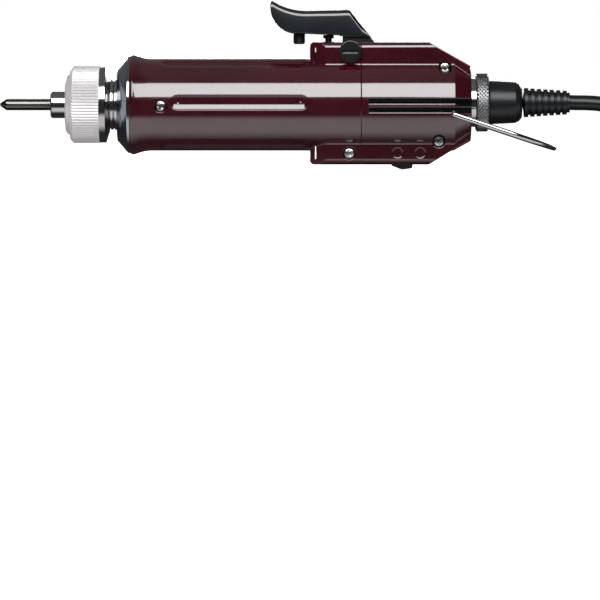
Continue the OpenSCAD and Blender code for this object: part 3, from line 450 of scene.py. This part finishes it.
def smooth_route(points, steps):
    """Catmull-Rom points through a list of places."""
    points = [Vector(p) for p in points]
    ends = [2 * points[0] - points[1]] + points + [2 * points[-1] - points[-2]]
    route = []
    for i in range(1, len(ends) - 2):
        a, b, c, d = ends[i - 1:i + 3]
        for k in range(steps):
            t = k / steps
            route.append(0.5 * (2 * b + (c - a) * t + (2 * a - 5 * b + 4 * c - d) * t ** 2
                                + (3 * b - a - 3 * c + d) * t ** 3))
    return route + [points[-1]]


CORD_LEAD = [
    (202.2, 0, 0.8), (214, 0, 0.3), (226, -1.5, -2.6), (238, -5.5, -8), (249, -9.7, -14),
    (260, -13.5, -19), (271, -16.4, -21.7), (282, -17.8, -22.3), (292, -18, -22.3),
]
CORD_END = [
    (292, -18, 1.7), (304, -16.4, 1.7), (315, -12, 0.6), (325, -7.6, -2.4), (334, -4, -6.6),
    (343, -1.6, -11), (352, -0.4, -15), (361, 0, -17.6), (371, 0, -18.4),
]
HANK_X, HANK_RUN, HANK_BEND = 292, 110, 18


def hank_route(turns, steps, rise):
    """Turns of the hank stacked on each other, each a straight run out and back with round ends."""
    lap = 2 * HANK_RUN + 2 * math.pi * HANK_BEND
    route, done = [], 0.0
    low = CORD_LEAD[-1][2]
    for _ in range(turns):
        for k in range(1, 6):
            route.append((HANK_X + HANK_RUN * k / 5, -HANK_BEND, done + HANK_RUN * k / 5))
        for k in range(1, steps + 1):
            a = math.pi * (k / steps - 0.5)
            route.append((HANK_X + HANK_RUN + HANK_BEND * math.cos(a), HANK_BEND * math.sin(a),
                          done + HANK_RUN + HANK_BEND * math.pi * k / steps))
        for k in range(1, 6):
            route.append((HANK_X + HANK_RUN * (1 - k / 5), HANK_BEND,
                          done + HANK_RUN + HANK_BEND * math.pi + HANK_RUN * k / 5))
        for k in range(1, steps + 1):
            a = math.pi * (k / steps + 0.5)
            route.append((HANK_X + HANK_BEND * math.cos(a), HANK_BEND * math.sin(a),
                          done + 2 * HANK_RUN + HANK_BEND * math.pi * (1 + k / steps)))
        done += lap
    return [Vector((x, y, low + rise * s / lap)) for x, y, s in route]


def strap(name, x, y, cord_d, top):
    """A strap round one side of the hank, drawn as a closed band."""
    half, thick, width = cord_d / 2 + 0.1 * MM, STRAP_THICK, STRAP_WIDTH
    low, high = FLOOR_Z + 0.02 * MM, top + 0.1 * MM
    rings = []
    for grow in (0, thick):
        ring = []
        for cy, cz, a0 in ((1, 1, 0), (-1, 1, 90), (-1, -1, 180), (1, -1, 270)):
            for k in range(5):
                a = math.radians(a0 + 90 * k / 4)
                r = STRAP_ROUND + grow
                centre_z = high - STRAP_ROUND if cz > 0 else low + thick + STRAP_ROUND
                ring.append((y + cy * (half - STRAP_ROUND) + r * math.cos(a),
                             centre_z + r * math.sin(a)))
        rings.append(ring)
    n = len(rings[0])
    verts = [(px, py, pz) for px in (x - width / 2, x + width / 2) for ring in rings for py, pz in ring]
    faces = []
    for i in range(n):
        j = (i + 1) % n
        faces += [(n + i, n + j, 3 * n + j, 3 * n + i), (i, 2 * n + i, 2 * n + j, j),
                  (i, j, n + j, n + i), (2 * n + i, 3 * n + i, 3 * n + j, 2 * n + j)]
    return bevelled(mesh_object(name, verts, faces), 0.15 * MM, 2, 50)


class TORQUE_OT_cord(bpy.types.Operator):
    """Lays the cord from the strain relief to its hank, straps and power plug"""

    bl_idname = "torque.cord"
    bl_label = "Cord"

    def execute(self, context):
        settings = context.scene.torque_cord
        route = smooth_route(CORD_LEAD, 5)
        route += hank_route(settings.turns, settings.steps, settings.diameter / MM)
        route += smooth_route(CORD_END, 5)[1:]
        curve = bpy.data.curves.new("power_cord", "CURVE")
        curve.dimensions = "3D"
        curve.bevel_depth = settings.diameter / 2
        curve.bevel_resolution = 5
        curve.use_fill_caps = True
        spline = curve.splines.new("POLY")
        spline.points.add(len(route) - 1)
        for point, place in zip(spline.points, route):
            point.co = (*(place * MM), 1)
        spline.use_smooth = True
        cable = new_object("power_cord", curve)
        paint(cable, FINISHES["cord"])
        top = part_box("cord_hank")[1].z
        straps = [
            strap("hank_strap_right", STRAP_RIGHT_X, HANK_BEND * MM, settings.diameter, top),
            strap("hank_strap_left", STRAP_LEFT_X, -HANK_BEND * MM, settings.diameter, top),
        ]
        for piece in straps:
            paint(piece, FINISHES["strap"])
            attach(piece, "tool")
        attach(cable, "tool")
        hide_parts("cord", "cord_hank", "cord_tail")
        return {"FINISHED"}


# ---- geometry node helpers ----


def node_tree(name, inputs):
    """A geometry tree with a mesh in, a mesh out and named sizes."""
    tree = bpy.data.node_groups.new(name, "GeometryNodeTree")
    tree.interface.new_socket("Geometry", in_out="INPUT", socket_type="NodeSocketGeometry")
    keys = {}
    for socket, kind in inputs:
        keys[socket] = tree.interface.new_socket(socket, in_out="INPUT", socket_type=kind).identifier
    tree.interface.new_socket("Geometry", in_out="OUTPUT", socket_type="NodeSocketGeometry")
    return tree, tree.nodes.new("NodeGroupInput"), tree.nodes.new("NodeGroupOutput"), keys


def grown(obj, tree, keys, values):
    """Runs a geometry tree on an object and keeps its mesh."""
    modifier = obj.modifiers.new(tree.name, "NODES")
    modifier.node_group = tree
    for socket, value in values.items():
        modifier[keys[socket]] = value
    return applied(obj)


def finish_tree(tree, geometry, out, material):
    real = tree.nodes.new("GeometryNodeRealizeInstances")
    painted = tree.nodes.new("GeometryNodeSetMaterial")
    painted.inputs["Material"].default_value = material
    tree.links.new(geometry, real.inputs["Geometry"])
    tree.links.new(real.outputs["Geometry"], painted.inputs["Geometry"])
    tree.links.new(painted.outputs["Geometry"], out.inputs[0])


# ---- screws ----


def cross_head(head_r, height):
    """A pan head with a cross recess, its top towards +Z and its seat at z = 0."""
    around, across = 96, 26
    arm, length, depth = 0.17 * head_r, 0.62 * head_r, 0.62 * height
    verts, faces = [], []

    def top(x, y):
        r = math.hypot(x, y) / head_r
        z = height * (1 - 0.28 * r * r - 0.30 * r ** 10)
        reach = max(0.0, 1 - max(abs(x), abs(y)) / length)
        slot = min(abs(x), abs(y)) < arm and reach > 0
        return z - depth * min(1, 3.2 * reach) if slot else z

    for i in range(1, across + 1):
        r = head_r * i / across
        for k in range(around):
            a = 2 * math.pi * k / around
            x, y = r * math.cos(a), r * math.sin(a)
            verts.append((x, y, top(x, y)))
    for i in range(across - 1):
        for k in range(around):
            j = (k + 1) % around
            faces.append((i * around + k, (i + 1) * around + k, (i + 1) * around + j, i * around + j))
    centre, rim = len(verts), (across - 1) * around
    verts.append((0, 0, top(0, 0)))
    faces += [(centre, k, (k + 1) % around) for k in range(around)]
    base = len(verts)
    verts += [(head_r * math.cos(2 * math.pi * k / around), head_r * math.sin(2 * math.pi * k / around), 0)
              for k in range(around)]
    for k in range(around):
        j = (k + 1) % around
        faces.append((rim + k, base + k, base + j, rim + j))
    faces.append(tuple(base + k for k in reversed(range(around))))
    head = mesh_object("cross_head_pattern", verts, faces)
    head.data.set_sharp_from_angle(angle=math.radians(35))
    return head


def screw_tree(pattern, material):
    """A head and its shank on every point, turned to the point's own direction."""
    names = [("Shank Radius", "NodeSocketFloat"), ("Shank Length", "NodeSocketFloat")]
    tree, given, out, keys = node_tree("Screws", names)
    link, new = tree.links.new, tree.nodes.new
    head = new("GeometryNodeObjectInfo")
    head.inputs["Object"].default_value = pattern
    shank = new("GeometryNodeMeshCylinder")
    shank.inputs["Vertices"].default_value = 24
    link(given.outputs["Shank Radius"], shank.inputs["Radius"])
    link(given.outputs["Shank Length"], shank.inputs["Depth"])
    half = new("ShaderNodeMath")
    half.operation = "MULTIPLY"
    half.inputs[1].default_value = -0.5
    down = new("ShaderNodeCombineXYZ")
    lower = new("GeometryNodeTransform")
    link(given.outputs["Shank Length"], half.inputs[0])
    link(half.outputs[0], down.inputs["Z"])
    link(down.outputs[0], lower.inputs["Translation"])
    link(shank.outputs["Mesh"], lower.inputs["Geometry"])
    both = new("GeometryNodeJoinGeometry")
    link(head.outputs["Geometry"], both.inputs[0])
    link(lower.outputs["Geometry"], both.inputs[0])
    direction = new("GeometryNodeInputNamedAttribute")
    direction.data_type = "FLOAT_VECTOR"
    direction.inputs["Name"].default_value = "turn"
    spread = new("GeometryNodeInstanceOnPoints")
    link(given.outputs["Geometry"], spread.inputs["Points"])
    link(both.outputs[0], spread.inputs["Instance"])
    link(direction.outputs[0], spread.inputs["Rotation"])
    finish_tree(tree, spread.outputs[0], out, material)
    return tree, keys


class TORQUE_OT_screws(bpy.types.Operator):
    """Puts cross-recessed screws where the casing screws are"""

    bl_idname = "torque.screws"
    bl_label = "Casing screws"

    def execute(self, context):
        settings = context.scene.torque_screws
        pattern = cross_head(settings.head / 2, settings.height)
        tree, keys = screw_tree(pattern, FINISHES["screw"])
        rows = {
            "keel_screws": ([(116.2, -8.2, -18.9, 0.4), (153.3, -7.7, 14.3, 0.9),
                             (150.9, -8.2, -14.2, 0.2)], 13.8),
            "nose_screws": ([(43.3, -16.0, -0.5, 0.5), (43.3, 16.0, -0.5, 1.1)], 2.3),
        }
        for node, (places, shank) in rows.items():
            points = mesh_object(node + "_cross_head", [Vector(p[:3]) * MM for p in places], [])
            turn = points.data.attributes.new("turn", "FLOAT_VECTOR", "POINT")
            for i, place in enumerate(places):
                side = math.pi / 2 if place[1] < 0 else -math.pi / 2
                turned = Matrix.Rotation(side, 3, "X") @ Matrix.Rotation(place[3], 3, "Z")
                turn.data[i].vector = turned.to_euler()
            grown(points, tree, keys, {"Shank Radius": settings.shank / 2, "Shank Length": shank * MM})
            outward(points)
            points.data.set_sharp_from_angle(angle=math.radians(35))
            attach(points, "tool")
            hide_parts(node)
        bpy.data.objects.remove(pattern)
        return {"FINISHED"}


# ---- locking ring ----


def knurl_tree(material):
    """Four-sided points on a cylinder in staggered rows, for a diamond knurl."""
    names = [("Around", "NodeSocketInt"), ("Rows", "NodeSocketInt"), ("Radius", "NodeSocketFloat"),
             ("Start", "NodeSocketFloat"), ("Width", "NodeSocketFloat"), ("Depth", "NodeSocketFloat"),
             ("Size", "NodeSocketFloat"), ("Axis Height", "NodeSocketFloat")]
    tree, given, out, keys = node_tree("Diamond Knurl", names)
    link, new = tree.links.new, tree.nodes.new

    def math_node(operation, *values):
        node = new("ShaderNodeMath")
        node.operation = operation
        for socket, value in zip(node.inputs, values):
            if isinstance(value, (int, float)):
                socket.default_value = value
            else:
                link(value, socket)
        return node.outputs[0]

    count = math_node("MULTIPLY", given.outputs["Around"], given.outputs["Rows"])
    points = new("GeometryNodePoints")
    link(count, points.inputs["Count"])
    index = new("GeometryNodeInputIndex").outputs[0]
    row = math_node("FLOOR", math_node("DIVIDE", math_node("ADD", index, 0.5), given.outputs["Around"]))
    stagger = math_node("MULTIPLY", math_node("MODULO", row, 2), 0.5)
    passed = math_node("MULTIPLY", row, given.outputs["Around"])
    place = math_node("ADD", math_node("SUBTRACT", index, passed), stagger)
    angle = math_node("DIVIDE", math_node("MULTIPLY", place, 2 * math.pi), given.outputs["Around"])
    along = math_node("DIVIDE", math_node("MULTIPLY", math_node("ADD", row, 0.5), given.outputs["Width"]),
                      given.outputs["Rows"])
    x = math_node("ADD", along, given.outputs["Start"])
    y = math_node("MULTIPLY", given.outputs["Radius"], math_node("COSINE", angle))
    z = math_node("ADD", math_node("MULTIPLY", given.outputs["Radius"], math_node("SINE", angle)),
                  given.outputs["Axis Height"])
    where = new("ShaderNodeCombineXYZ")
    for socket, value in zip(where.inputs, (x, y, z)):
        link(value, socket)
    moved = new("GeometryNodeSetPosition")
    link(points.outputs[0], moved.inputs["Geometry"])
    link(where.outputs[0], moved.inputs["Position"])
    tip = new("GeometryNodeMeshCone")
    tip.inputs["Vertices"].default_value = 4
    tip.inputs["Radius Top"].default_value = 0
    link(given.outputs["Size"], tip.inputs["Radius Bottom"])
    link(given.outputs["Depth"], tip.inputs["Depth"])
    spin = new("ShaderNodeCombineXYZ")
    link(math_node("SUBTRACT", angle, math.pi / 2), spin.inputs["X"])
    spread = new("GeometryNodeInstanceOnPoints")
    link(moved.outputs[0], spread.inputs["Points"])
    link(tip.outputs["Mesh"], spread.inputs["Instance"])
    link(spin.outputs[0], spread.inputs["Rotation"])
    both = new("GeometryNodeJoinGeometry")
    link(given.outputs["Geometry"], both.inputs[0])
    link(spread.outputs[0], both.inputs[0])
    finish_tree(tree, both.outputs[0], out, material)
    return tree, keys


class TORQUE_OT_locking_ring(bpy.types.Operator):
    """Builds the diamond-knurled ring that locks the cord's plug to the tail"""

    bl_idname = "torque.locking_ring"
    bl_label = "Locking ring"

    def execute(self, context):
        settings = context.scene.torque_ring
        low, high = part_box("locking_ring")
        outer = (high.y - low.y) / 2
        start, end, bore = low.x, high.x, RING_BORE
        root = outer - settings.depth
        edge = 0.5 * MM
        profile = [(start, bore), (start, root - edge), (start + edge, root), (end - edge, root),
                   (end, root - edge), (end, bore)]
        ring = lathe("knurled_locking_ring", profile, 96, SOCKET_Z)
        tree, keys = knurl_tree(FINISHES["ring"])
        grown(ring, tree, keys, {
            "Around": settings.around, "Rows": settings.rows, "Radius": root - 0.02 * MM,
            "Start": start + edge, "Width": end - start - 2 * edge, "Depth": settings.depth,
            "Size": 2 * math.pi * root / settings.around / 2 * 0.98, "Axis Height": SOCKET_Z,
        })
        outward(ring)
        ring.data.polygons.foreach_set("use_smooth", [True] * len(ring.data.polygons))
        ring.data.set_sharp_from_angle(angle=math.radians(25))
        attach(ring, "lock_ring")
        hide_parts("locking_ring")
        return {"FINISHED"}


# ---- lever ----


def arc(centre, r, a0, a1, n):
    return [(centre[0] + r * math.cos(math.radians(a0 + (a1 - a0) * k / n)),
             centre[1] + r * math.sin(math.radians(a0 + (a1 - a0) * k / n))) for k in range(n + 1)]


def height_at(line, x):
    for (xa, za), (xb, zb) in zip(line, line[1:]):
        if xa <= x <= xb:
            return za + (zb - za) * (x - xa) / max(1e-9, xb - xa)
    return line[-1][1]


def lever_pad(width, rounding):
    """The pad as sections across it, from its hooked front to the foot of its back slant."""
    under = arc((-20.8, 17.5), 10.3, 176, 270, 20) + [(-17.5, 7.2), (-4.4, 6.6), (-2.2, 5.75), (8.0, 5.75)]
    over = [(under[0][0], under[0][1] + 0.1), (-30.95, 19.2), (-30.7, 19.7)]
    over += arc((-17.1, 40), 24, 237, 270, 14) + [(-5.3, 16.2), (-0.9, 16.4), (0, 16.1), (8.0, 5.85)]
    front, rear = under[0][0], 8.0
    stations = sorted({front + 0.001 + (-19 - front) * (k / 24) ** 2 for k in range(25)}
                      | {-19 + (rear + 19) * k / 40 for k in range(1, 41)} | {-4.4, -2.2, -0.9, 0.0})
    verts, faces, count = [], [], 0
    for x in stations:
        low, high = height_at(under, x), height_at(over, x)
        tall = max(0.02, high - low)
        ring = []
        for side, top in ((1, True), (-1, True), (-1, False), (1, False)):
            r = min(rounding if top else 0.7, 0.55 * tall if top else 0.35 * tall)
            cy, cz = side * (width / 2 - r), high - r if top else low + r
            start = {(1, True): 0, (-1, True): 90, (-1, False): 180, (1, False): 270}[(side, top)]
            for k in range(9):
                a = math.radians(start + 90 * k / 8)
                ring.append((PIVOT.x + x * MM, (cy + r * math.cos(a)) * MM,
                             PIVOT.z + (cz + r * math.sin(a)) * MM))
        verts += ring
        count += 1
    n = 36
    for i in range(count - 1):
        for k in range(n):
            j = (k + 1) % n
            faces.append((i * n + k, (i + 1) * n + k, (i + 1) * n + j, i * n + j))
    faces += [tuple(range(n)), tuple(range((count - 1) * n + n - 1, (count - 1) * n - 1, -1))]
    pad = mesh_object("lever_pad", verts, faces)
    outward(pad)
    pad.data.set_sharp_from_angle(angle=math.radians(40))
    return pad


class TORQUE_OT_lever(bpy.types.Operator):
    """Builds the start lever with rounded edges: hooked front, dished top and a leg to its pivot"""

    bl_idname = "torque.lever"
    bl_label = "Start lever"

    def execute(self, context):
        settings = context.scene.torque_lever
        parts = [lever_pad(settings.pad / MM, settings.rounding / MM)]
        leg = [(-3.1, 6.6), (-3.3, 0)] + arc((0, 0), 3.3, 180, 300, 8)
        leg += [(5.6, -1.2), (9.4, 3.9), (4.6, 10.1), (-1.5, 10.1)]
        placed_leg = [(PIVOT.x + x * MM, PIVOT.z + z * MM) for x, z in leg]
        parts.append(bevelled(extruded("lever_leg", placed_leg, settings.leg), 0.3 * MM, 4))
        lever = joined("start_lever_moulding", parts)
        paint(lever, FINISHES["lever"])
        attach(lever, "lever")
        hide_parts("start_lever")
        return {"FINISHED"}


# ---- finishes ----

FINISHES = {}


def make_finishes(settings):
    def tones(base, share):
        return (list(base), [c * share for c in list(base)[:3]] + [1.0])

    casing = Finish("Casing moulding", (list(settings.casing), list(settings.casing_dark)), 0.16,
                    spread=0.05, bump=0.012, grain=700.0, drift=45.0, edge=0.0005)
    casing.coat(1.0, 1.8, 0.045)
    # The rear casing's side groove is coloured near-black: painted dark reflection in the groove.
    casing.painted_dark_where(casing.mask(("X", SIDE_GROOVE_X, 0.1237), ("|Y|", SIDE_GROOVE_Y, 0.0173),
                                   ("Z", -0.0033, -0.0032), ("Z", 0.0025, 0.0024)))
    nut = Finish("Knurled nickel", tones(srgb(206, 202, 204), 0.9), 0.42, bump=0.03, edge=0.0002)
    nut.polished_where(nut.mask(("X", FLANGE_X, 0.0193)), 0.45, 0.42)
    chrome = Finish("Bright plating", tones(settings.plating, 0.93), 0.13, spread=0.08, metallic=1.0,
                    bump=0.015, turned=3500.0)
    FINISHES.update({
        "casing": casing.material,
        "chrome": chrome.material,
        "nut": nut.material,
        "cone": Finish("Polished cone", tones(srgb(186, 192, 198), 0.92), 0.12, metallic=1.0, bump=0.02,
                       turned=3000.0, edge=0.0004).material,
        "steel": Finish("Turned steel", tones(srgb(178, 182, 186), 0.85), 0.3, metallic=1.0, bump=0.05,
                        turned=5000.0).material,
        "bit": Finish("Tool steel", tones(srgb(120, 120, 116), 0.8), 0.24, metallic=1.0, bump=0.03,
                      turned=2500.0).material,
        "spring": Finish("Spring steel", tones(srgb(96, 98, 102), 0.8), 0.35, metallic=1.0).material,
        "bronze": Finish("Sintered bronze", tones(srgb(176, 136, 78), 0.8), 0.42, metallic=1.0,
                         bump=0.06, grain=3000.0).material,
        "copper": Finish("Wound copper", tones(srgb(166, 92, 56), 0.7), 0.4, metallic=1.0, bump=0.1,
                         turned=2600.0).material,
        "ferrite": Finish("Ferrite", tones(srgb(58, 60, 64), 0.8), 0.6, bump=0.1, grain=2500.0).material,
        "screw": Finish("Plated screw", tones(srgb(214, 214, 216), 0.85), 0.2, metallic=1.0,
                        bump=0.03).material,
        "ring": Finish("Knurled ring", tones(srgb(205, 205, 208), 0.82), 0.28, metallic=1.0,
                       bump=0.03).material,
        "lever": Finish("Lever moulding", tones(settings.lever, 0.7), 0.3, bump=0.03,
                        grain=1200.0).coat(1.0, 1.7, 0.1).material,
        "knob": Finish("Knob moulding", tones(srgb(10, 12, 14), 0.7), 0.3, bump=0.05,
                       edge=0.0006).coat(0.7).material,
        "black": Finish("Black moulding", tones(srgb(12, 13, 15), 0.8), 0.4, bump=0.06, grain=2200.0,
                        edge=0.0003).material,
        "plug": Finish("Plug moulding", tones(srgb(13, 19, 22), 0.8), 0.34, spread=0.14, bump=0.12,
                       grain=900.0, edge=0.0004).material,
        "cord": Finish("Cord jacket", tones(settings.cord, 0.8), 0.32, bump=0.06, grain=2600.0).material,
        "strap": Finish("Woven strap", tones(srgb(26, 27, 29), 0.6), 0.85, bump=0.5, grain=3200.0,
                        drift=900.0).material,
        "board": Finish("Circuit laminate", tones(srgb(30, 92, 52), 0.8), 0.35, bump=0.05).material,
    })


NODE_FINISHES = {
    "casing": "front_casing_left front_casing_right rear_casing_left rear_casing_right",
    "chrome": "chuck_sleeve tail_socket hanging_bail chuck_balls clutch_balls clutch_housing",
    "nut": "torque_nut",
    "cone": "nose_cone",
    "steel": "spindle thrust_ring push_pins spring_seat thrust_bearing clutch_plate planet_carrier "
             "ring_gear motor_plate motor_can rotor_shaft lever_pivot power_plug",
    "bit": "bit",
    "spring": "torque_spring chuck_spring chuck_clip lever_spring",
    "bronze": "spindle_bush motor_bearings planet_gear_1 planet_gear_2 planet_gear_3 motor_pinion",
    "copper": "rotor_core commutator",
    "ferrite": "motor_magnets brushes",
    "knob": "pivot_knob reverse_rocker",
    "black": "stop_peg switch_plunger plunger_guide start_switch reverse_switch motor_end_cap",
    "plug": "plug_body strain_relief power_plug_boot",
    "board": "circuit_board",
}


class TORQUE_OT_finishes(bpy.types.Operator):
    """Makes the finishes and gives each solid of the frame its own"""

    bl_idname = "torque.finishes"
    bl_label = "Finishes"

    def execute(self, context):
        make_finishes(context.scene.torque_finish)
        for finish, names in NODE_FINISHES.items():
            for name in names.split():
                slots = NODES[name].material_slots
                if not slots:
                    paint(NODES[name], FINISHES[finish])
                for slot in slots:
                    slot.material = FINISHES[finish]
        return {"FINISHED"}


# ---- stage ----


def area_light(name, place, target, size, power, mirrored=True):
    light = bpy.data.lights.new(name, "AREA")
    light.shape = "RECTANGLE"
    light.size, light.size_y = size
    light.energy = power
    lamp = new_object(name, light)
    lamp.location = place
    lamp.visible_glossy = mirrored
    lamp.rotation_euler = (Vector(target) - Vector(place)).to_track_quat("-Z", "Y").to_euler()
    return lamp


def world_light():
    """White behind the tool; reflections see a dark band in front of it, as in a shaded studio."""
    world = bpy.data.worlds.new("Studio")
    bpy.context.scene.world = world
    world.use_nodes = True
    tree = world.node_tree
    link, new = tree.links.new, tree.nodes.new
    background = tree.nodes["Background"]
    direction = new("ShaderNodeTexCoord")
    split = new("ShaderNodeSeparateXYZ")
    link(direction.outputs["Generated"], split.inputs[0])

    def ramp(source, a, b):
        node = new("ShaderNodeMapRange")
        node.interpolation_type = "SMOOTHSTEP"
        node.inputs["From Min"].default_value = a
        node.inputs["From Max"].default_value = b
        link(source, node.inputs["Value"])
        return node.outputs[0]

    def combine(operation, a, b):
        node = new("ShaderNodeMath")
        node.operation = operation
        for socket, value in zip(node.inputs, (a, b)):
            if isinstance(value, float):
                socket.default_value = value
            else:
                link(value, socket)
        return node.outputs[0]

    above = ramp(split.outputs["Z"], 0.80, 0.97)
    behind = ramp(split.outputs["Y"], 0.1, 0.5)
    bright = combine("MAXIMUM", above, behind)
    seen = combine("MULTIPLY_ADD", bright, 0.11)
    seen.node.inputs[2].default_value = 0.012
    path = new("ShaderNodeLightPath")
    strength = new("ShaderNodeMix")
    strength.inputs[2].default_value = 0.45
    link(path.outputs["Is Glossy Ray"], strength.inputs["Factor"])
    link(seen, strength.inputs[3])
    camera = new("ShaderNodeMix")
    camera.inputs[3].default_value = 1.0
    link(path.outputs["Is Camera Ray"], camera.inputs["Factor"])
    link(strength.outputs[0], camera.inputs[2])
    link(camera.outputs[0], background.inputs["Strength"])
    background.inputs["Color"].default_value = (1, 1, 1, 1)


def floor_material():
    """Pale paper: its colour clips to white for the camera and keeps the tool's shadow. Glossy rays see an
    emitting strip in its place: a painted reflection of a lit band in front of the tool, with painted
    shadow under the tool.
    """
    material = bpy.data.materials.new("Pale paper")
    material.use_nodes = True
    tree = material.node_tree
    shader = tree.nodes["Principled BSDF"]
    shader.inputs["Base Color"].default_value = (0.86, 0.86, 0.86, 1)
    shader.inputs["Roughness"].default_value = 0.9
    shader.inputs["Specular IOR Level"].default_value = 0.0
    glow = tree.nodes.new("ShaderNodeEmission")
    path = tree.nodes.new("ShaderNodeLightPath")
    lift = tree.nodes.new("ShaderNodeMath")
    lift.operation = "MULTIPLY"
    lift.inputs[1].default_value = 0.78
    total = tree.nodes.new("ShaderNodeAddShader")
    link = tree.links.new
    link(path.outputs["Is Camera Ray"], lift.inputs[0])
    link(lift.outputs[0], glow.inputs["Strength"])
    link(shader.outputs[0], total.inputs[0])
    link(glow.outputs[0], total.inputs[1])
    place = tree.nodes.new("ShaderNodeTexCoord")
    split = tree.nodes.new("ShaderNodeSeparateXYZ")
    link(place.outputs["Object"], split.inputs[0])
    # Painted reflection for glossy rays: bright between Y -38 and -22 mm, painted shadow under the tool,
    # dark further out.
    edges = []
    for near, far in ((-0.062, -0.038), (-0.008, -0.022)):
        edge = tree.nodes.new("ShaderNodeMapRange")
        edge.interpolation_type = "SMOOTHSTEP"
        edge.inputs["From Min"].default_value = near
        edge.inputs["From Max"].default_value = far
        link(split.outputs["Y"], edge.inputs["Value"])
        edges.append(edge.outputs[0])
    painted_light_band = tree.nodes.new("ShaderNodeMath")
    painted_light_band.operation = "MULTIPLY"
    link(edges[0], painted_light_band.inputs[0])
    link(edges[1], painted_light_band.inputs[1])
    strip = tree.nodes.new("ShaderNodeMath")
    strip.operation = "MULTIPLY_ADD"
    strip.inputs[1].default_value = 0.75
    strip.inputs[2].default_value = 0.03
    link(painted_light_band.outputs[0], strip.inputs[0])
    mirrored = tree.nodes.new("ShaderNodeEmission")
    link(strip.outputs[0], mirrored.inputs["Strength"])
    choice = tree.nodes.new("ShaderNodeMixShader")
    link(path.outputs["Is Glossy Ray"], choice.inputs[0])
    link(total.outputs[0], choice.inputs[1])
    link(mirrored.outputs[0], choice.inputs[2])
    link(choice.outputs[0], tree.nodes["Material Output"].inputs["Surface"])
    return material


class TORQUE_OT_stage(bpy.types.Operator):
    """Sets the camera, the pale floor and the studio light"""

    bl_idname = "torque.stage"
    bl_label = "Stage"

    def execute(self, context):
        settings = context.scene.torque_stage
        scene = context.scene
        scene.view_settings.view_transform = "Standard"
        camera = bpy.data.cameras.new("Side view")
        camera.sensor_width = 36
        camera.lens = 36 * settings.distance / settings.view_width
        camera.shift_y = -VIEW_DROP / settings.view_width
        eye = new_object("Side view", camera)
        eye.location = (VIEW_CENTRE_X, -settings.distance, 0)
        eye.rotation_euler = (math.pi / 2, 0, 0)
        scene.camera = eye
        half = FLOOR_HALF
        paper = mesh_object("paper_floor", [(x, y, FLOOR_Z) for x, y in
                            ((-half, -half), (half, -half), (half, half), (-half, half))], [(0, 1, 2, 3)])
        paint(paper, floor_material())
        aim = (0.1, 0, 0)
        area_light("Key softbox", (0.1, -0.42, 0.31), aim, (0.62, 0.33), settings.key)
        area_light("Rear fill", (0.25, 0.6, 0.5), aim, (0.7, 0.5), settings.key * 0.9, False)
        area_light("Rear strip", (0.1, 0.55, 0.085), aim, (0.62, 0.11), settings.key * 0.45)
        area_light("Nose fill", (-0.5, -0.3, 0.35), aim, (0.4, 0.4), settings.key * 0.35, False)
        world_light()
        return {"FINISHED"}


# ---- panel and registration ----


class TORQUE_PT_panel(bpy.types.Panel):
    """Sizes and colours of the screwdriver's looks"""

    bl_idname = "TORQUE_PT_panel"
    bl_label = "Torque Screwdriver"
    bl_space_type = "VIEW_3D"
    bl_region_type = "UI"
    bl_category = "Torque Driver"

    def draw(self, context):
        for name, operators in STEPS:
            box = self.layout.box()
            settings = getattr(context.scene, name)
            for prop in settings.bl_rna.properties:
                if prop.identifier not in ("rna_type", "name"):
                    box.prop(settings, prop.identifier)
            for operator in operators:
                box.operator(operator)


SETTINGS = {
    "torque_finish": FinishSettings,
    "torque_stage": StageSettings,
    "torque_cord": CordSettings,
    "torque_screws": ScrewSettings,
    "torque_ring": RingSettings,
    "torque_lever": LeverSettings,
}
STEPS = [
    ("torque_finish", ["torque.finishes"]),
    ("torque_stage", ["torque.stage"]),
    ("torque_cord", ["torque.cord"]),
    ("torque_screws", ["torque.screws"]),
    ("torque_ring", ["torque.locking_ring"]),
    ("torque_lever", ["torque.lever"]),
]
CLASSES = [
    *SETTINGS.values(), TORQUE_OT_finishes, TORQUE_OT_stage, TORQUE_OT_cord, TORQUE_OT_screws,
    TORQUE_OT_locking_ring, TORQUE_OT_lever, TORQUE_PT_panel,
]


def register():
    for cls in CLASSES:
        bpy.utils.register_class(cls)
    for name, cls in SETTINGS.items():
        setattr(bpy.types.Scene, name, PointerProperty(type=cls))


def unregister():
    for name in SETTINGS:
        delattr(bpy.types.Scene, name)
    for cls in reversed(CLASSES):
        bpy.utils.unregister_class(cls)


def main():
    register()
    bpy.ops.torque.finishes()
    bpy.ops.torque.stage()
    bpy.ops.torque.cord()
    bpy.ops.torque.screws()
    bpy.ops.torque.locking_ring()
    bpy.ops.torque.lever()


if __name__ == "__main__":
    main()
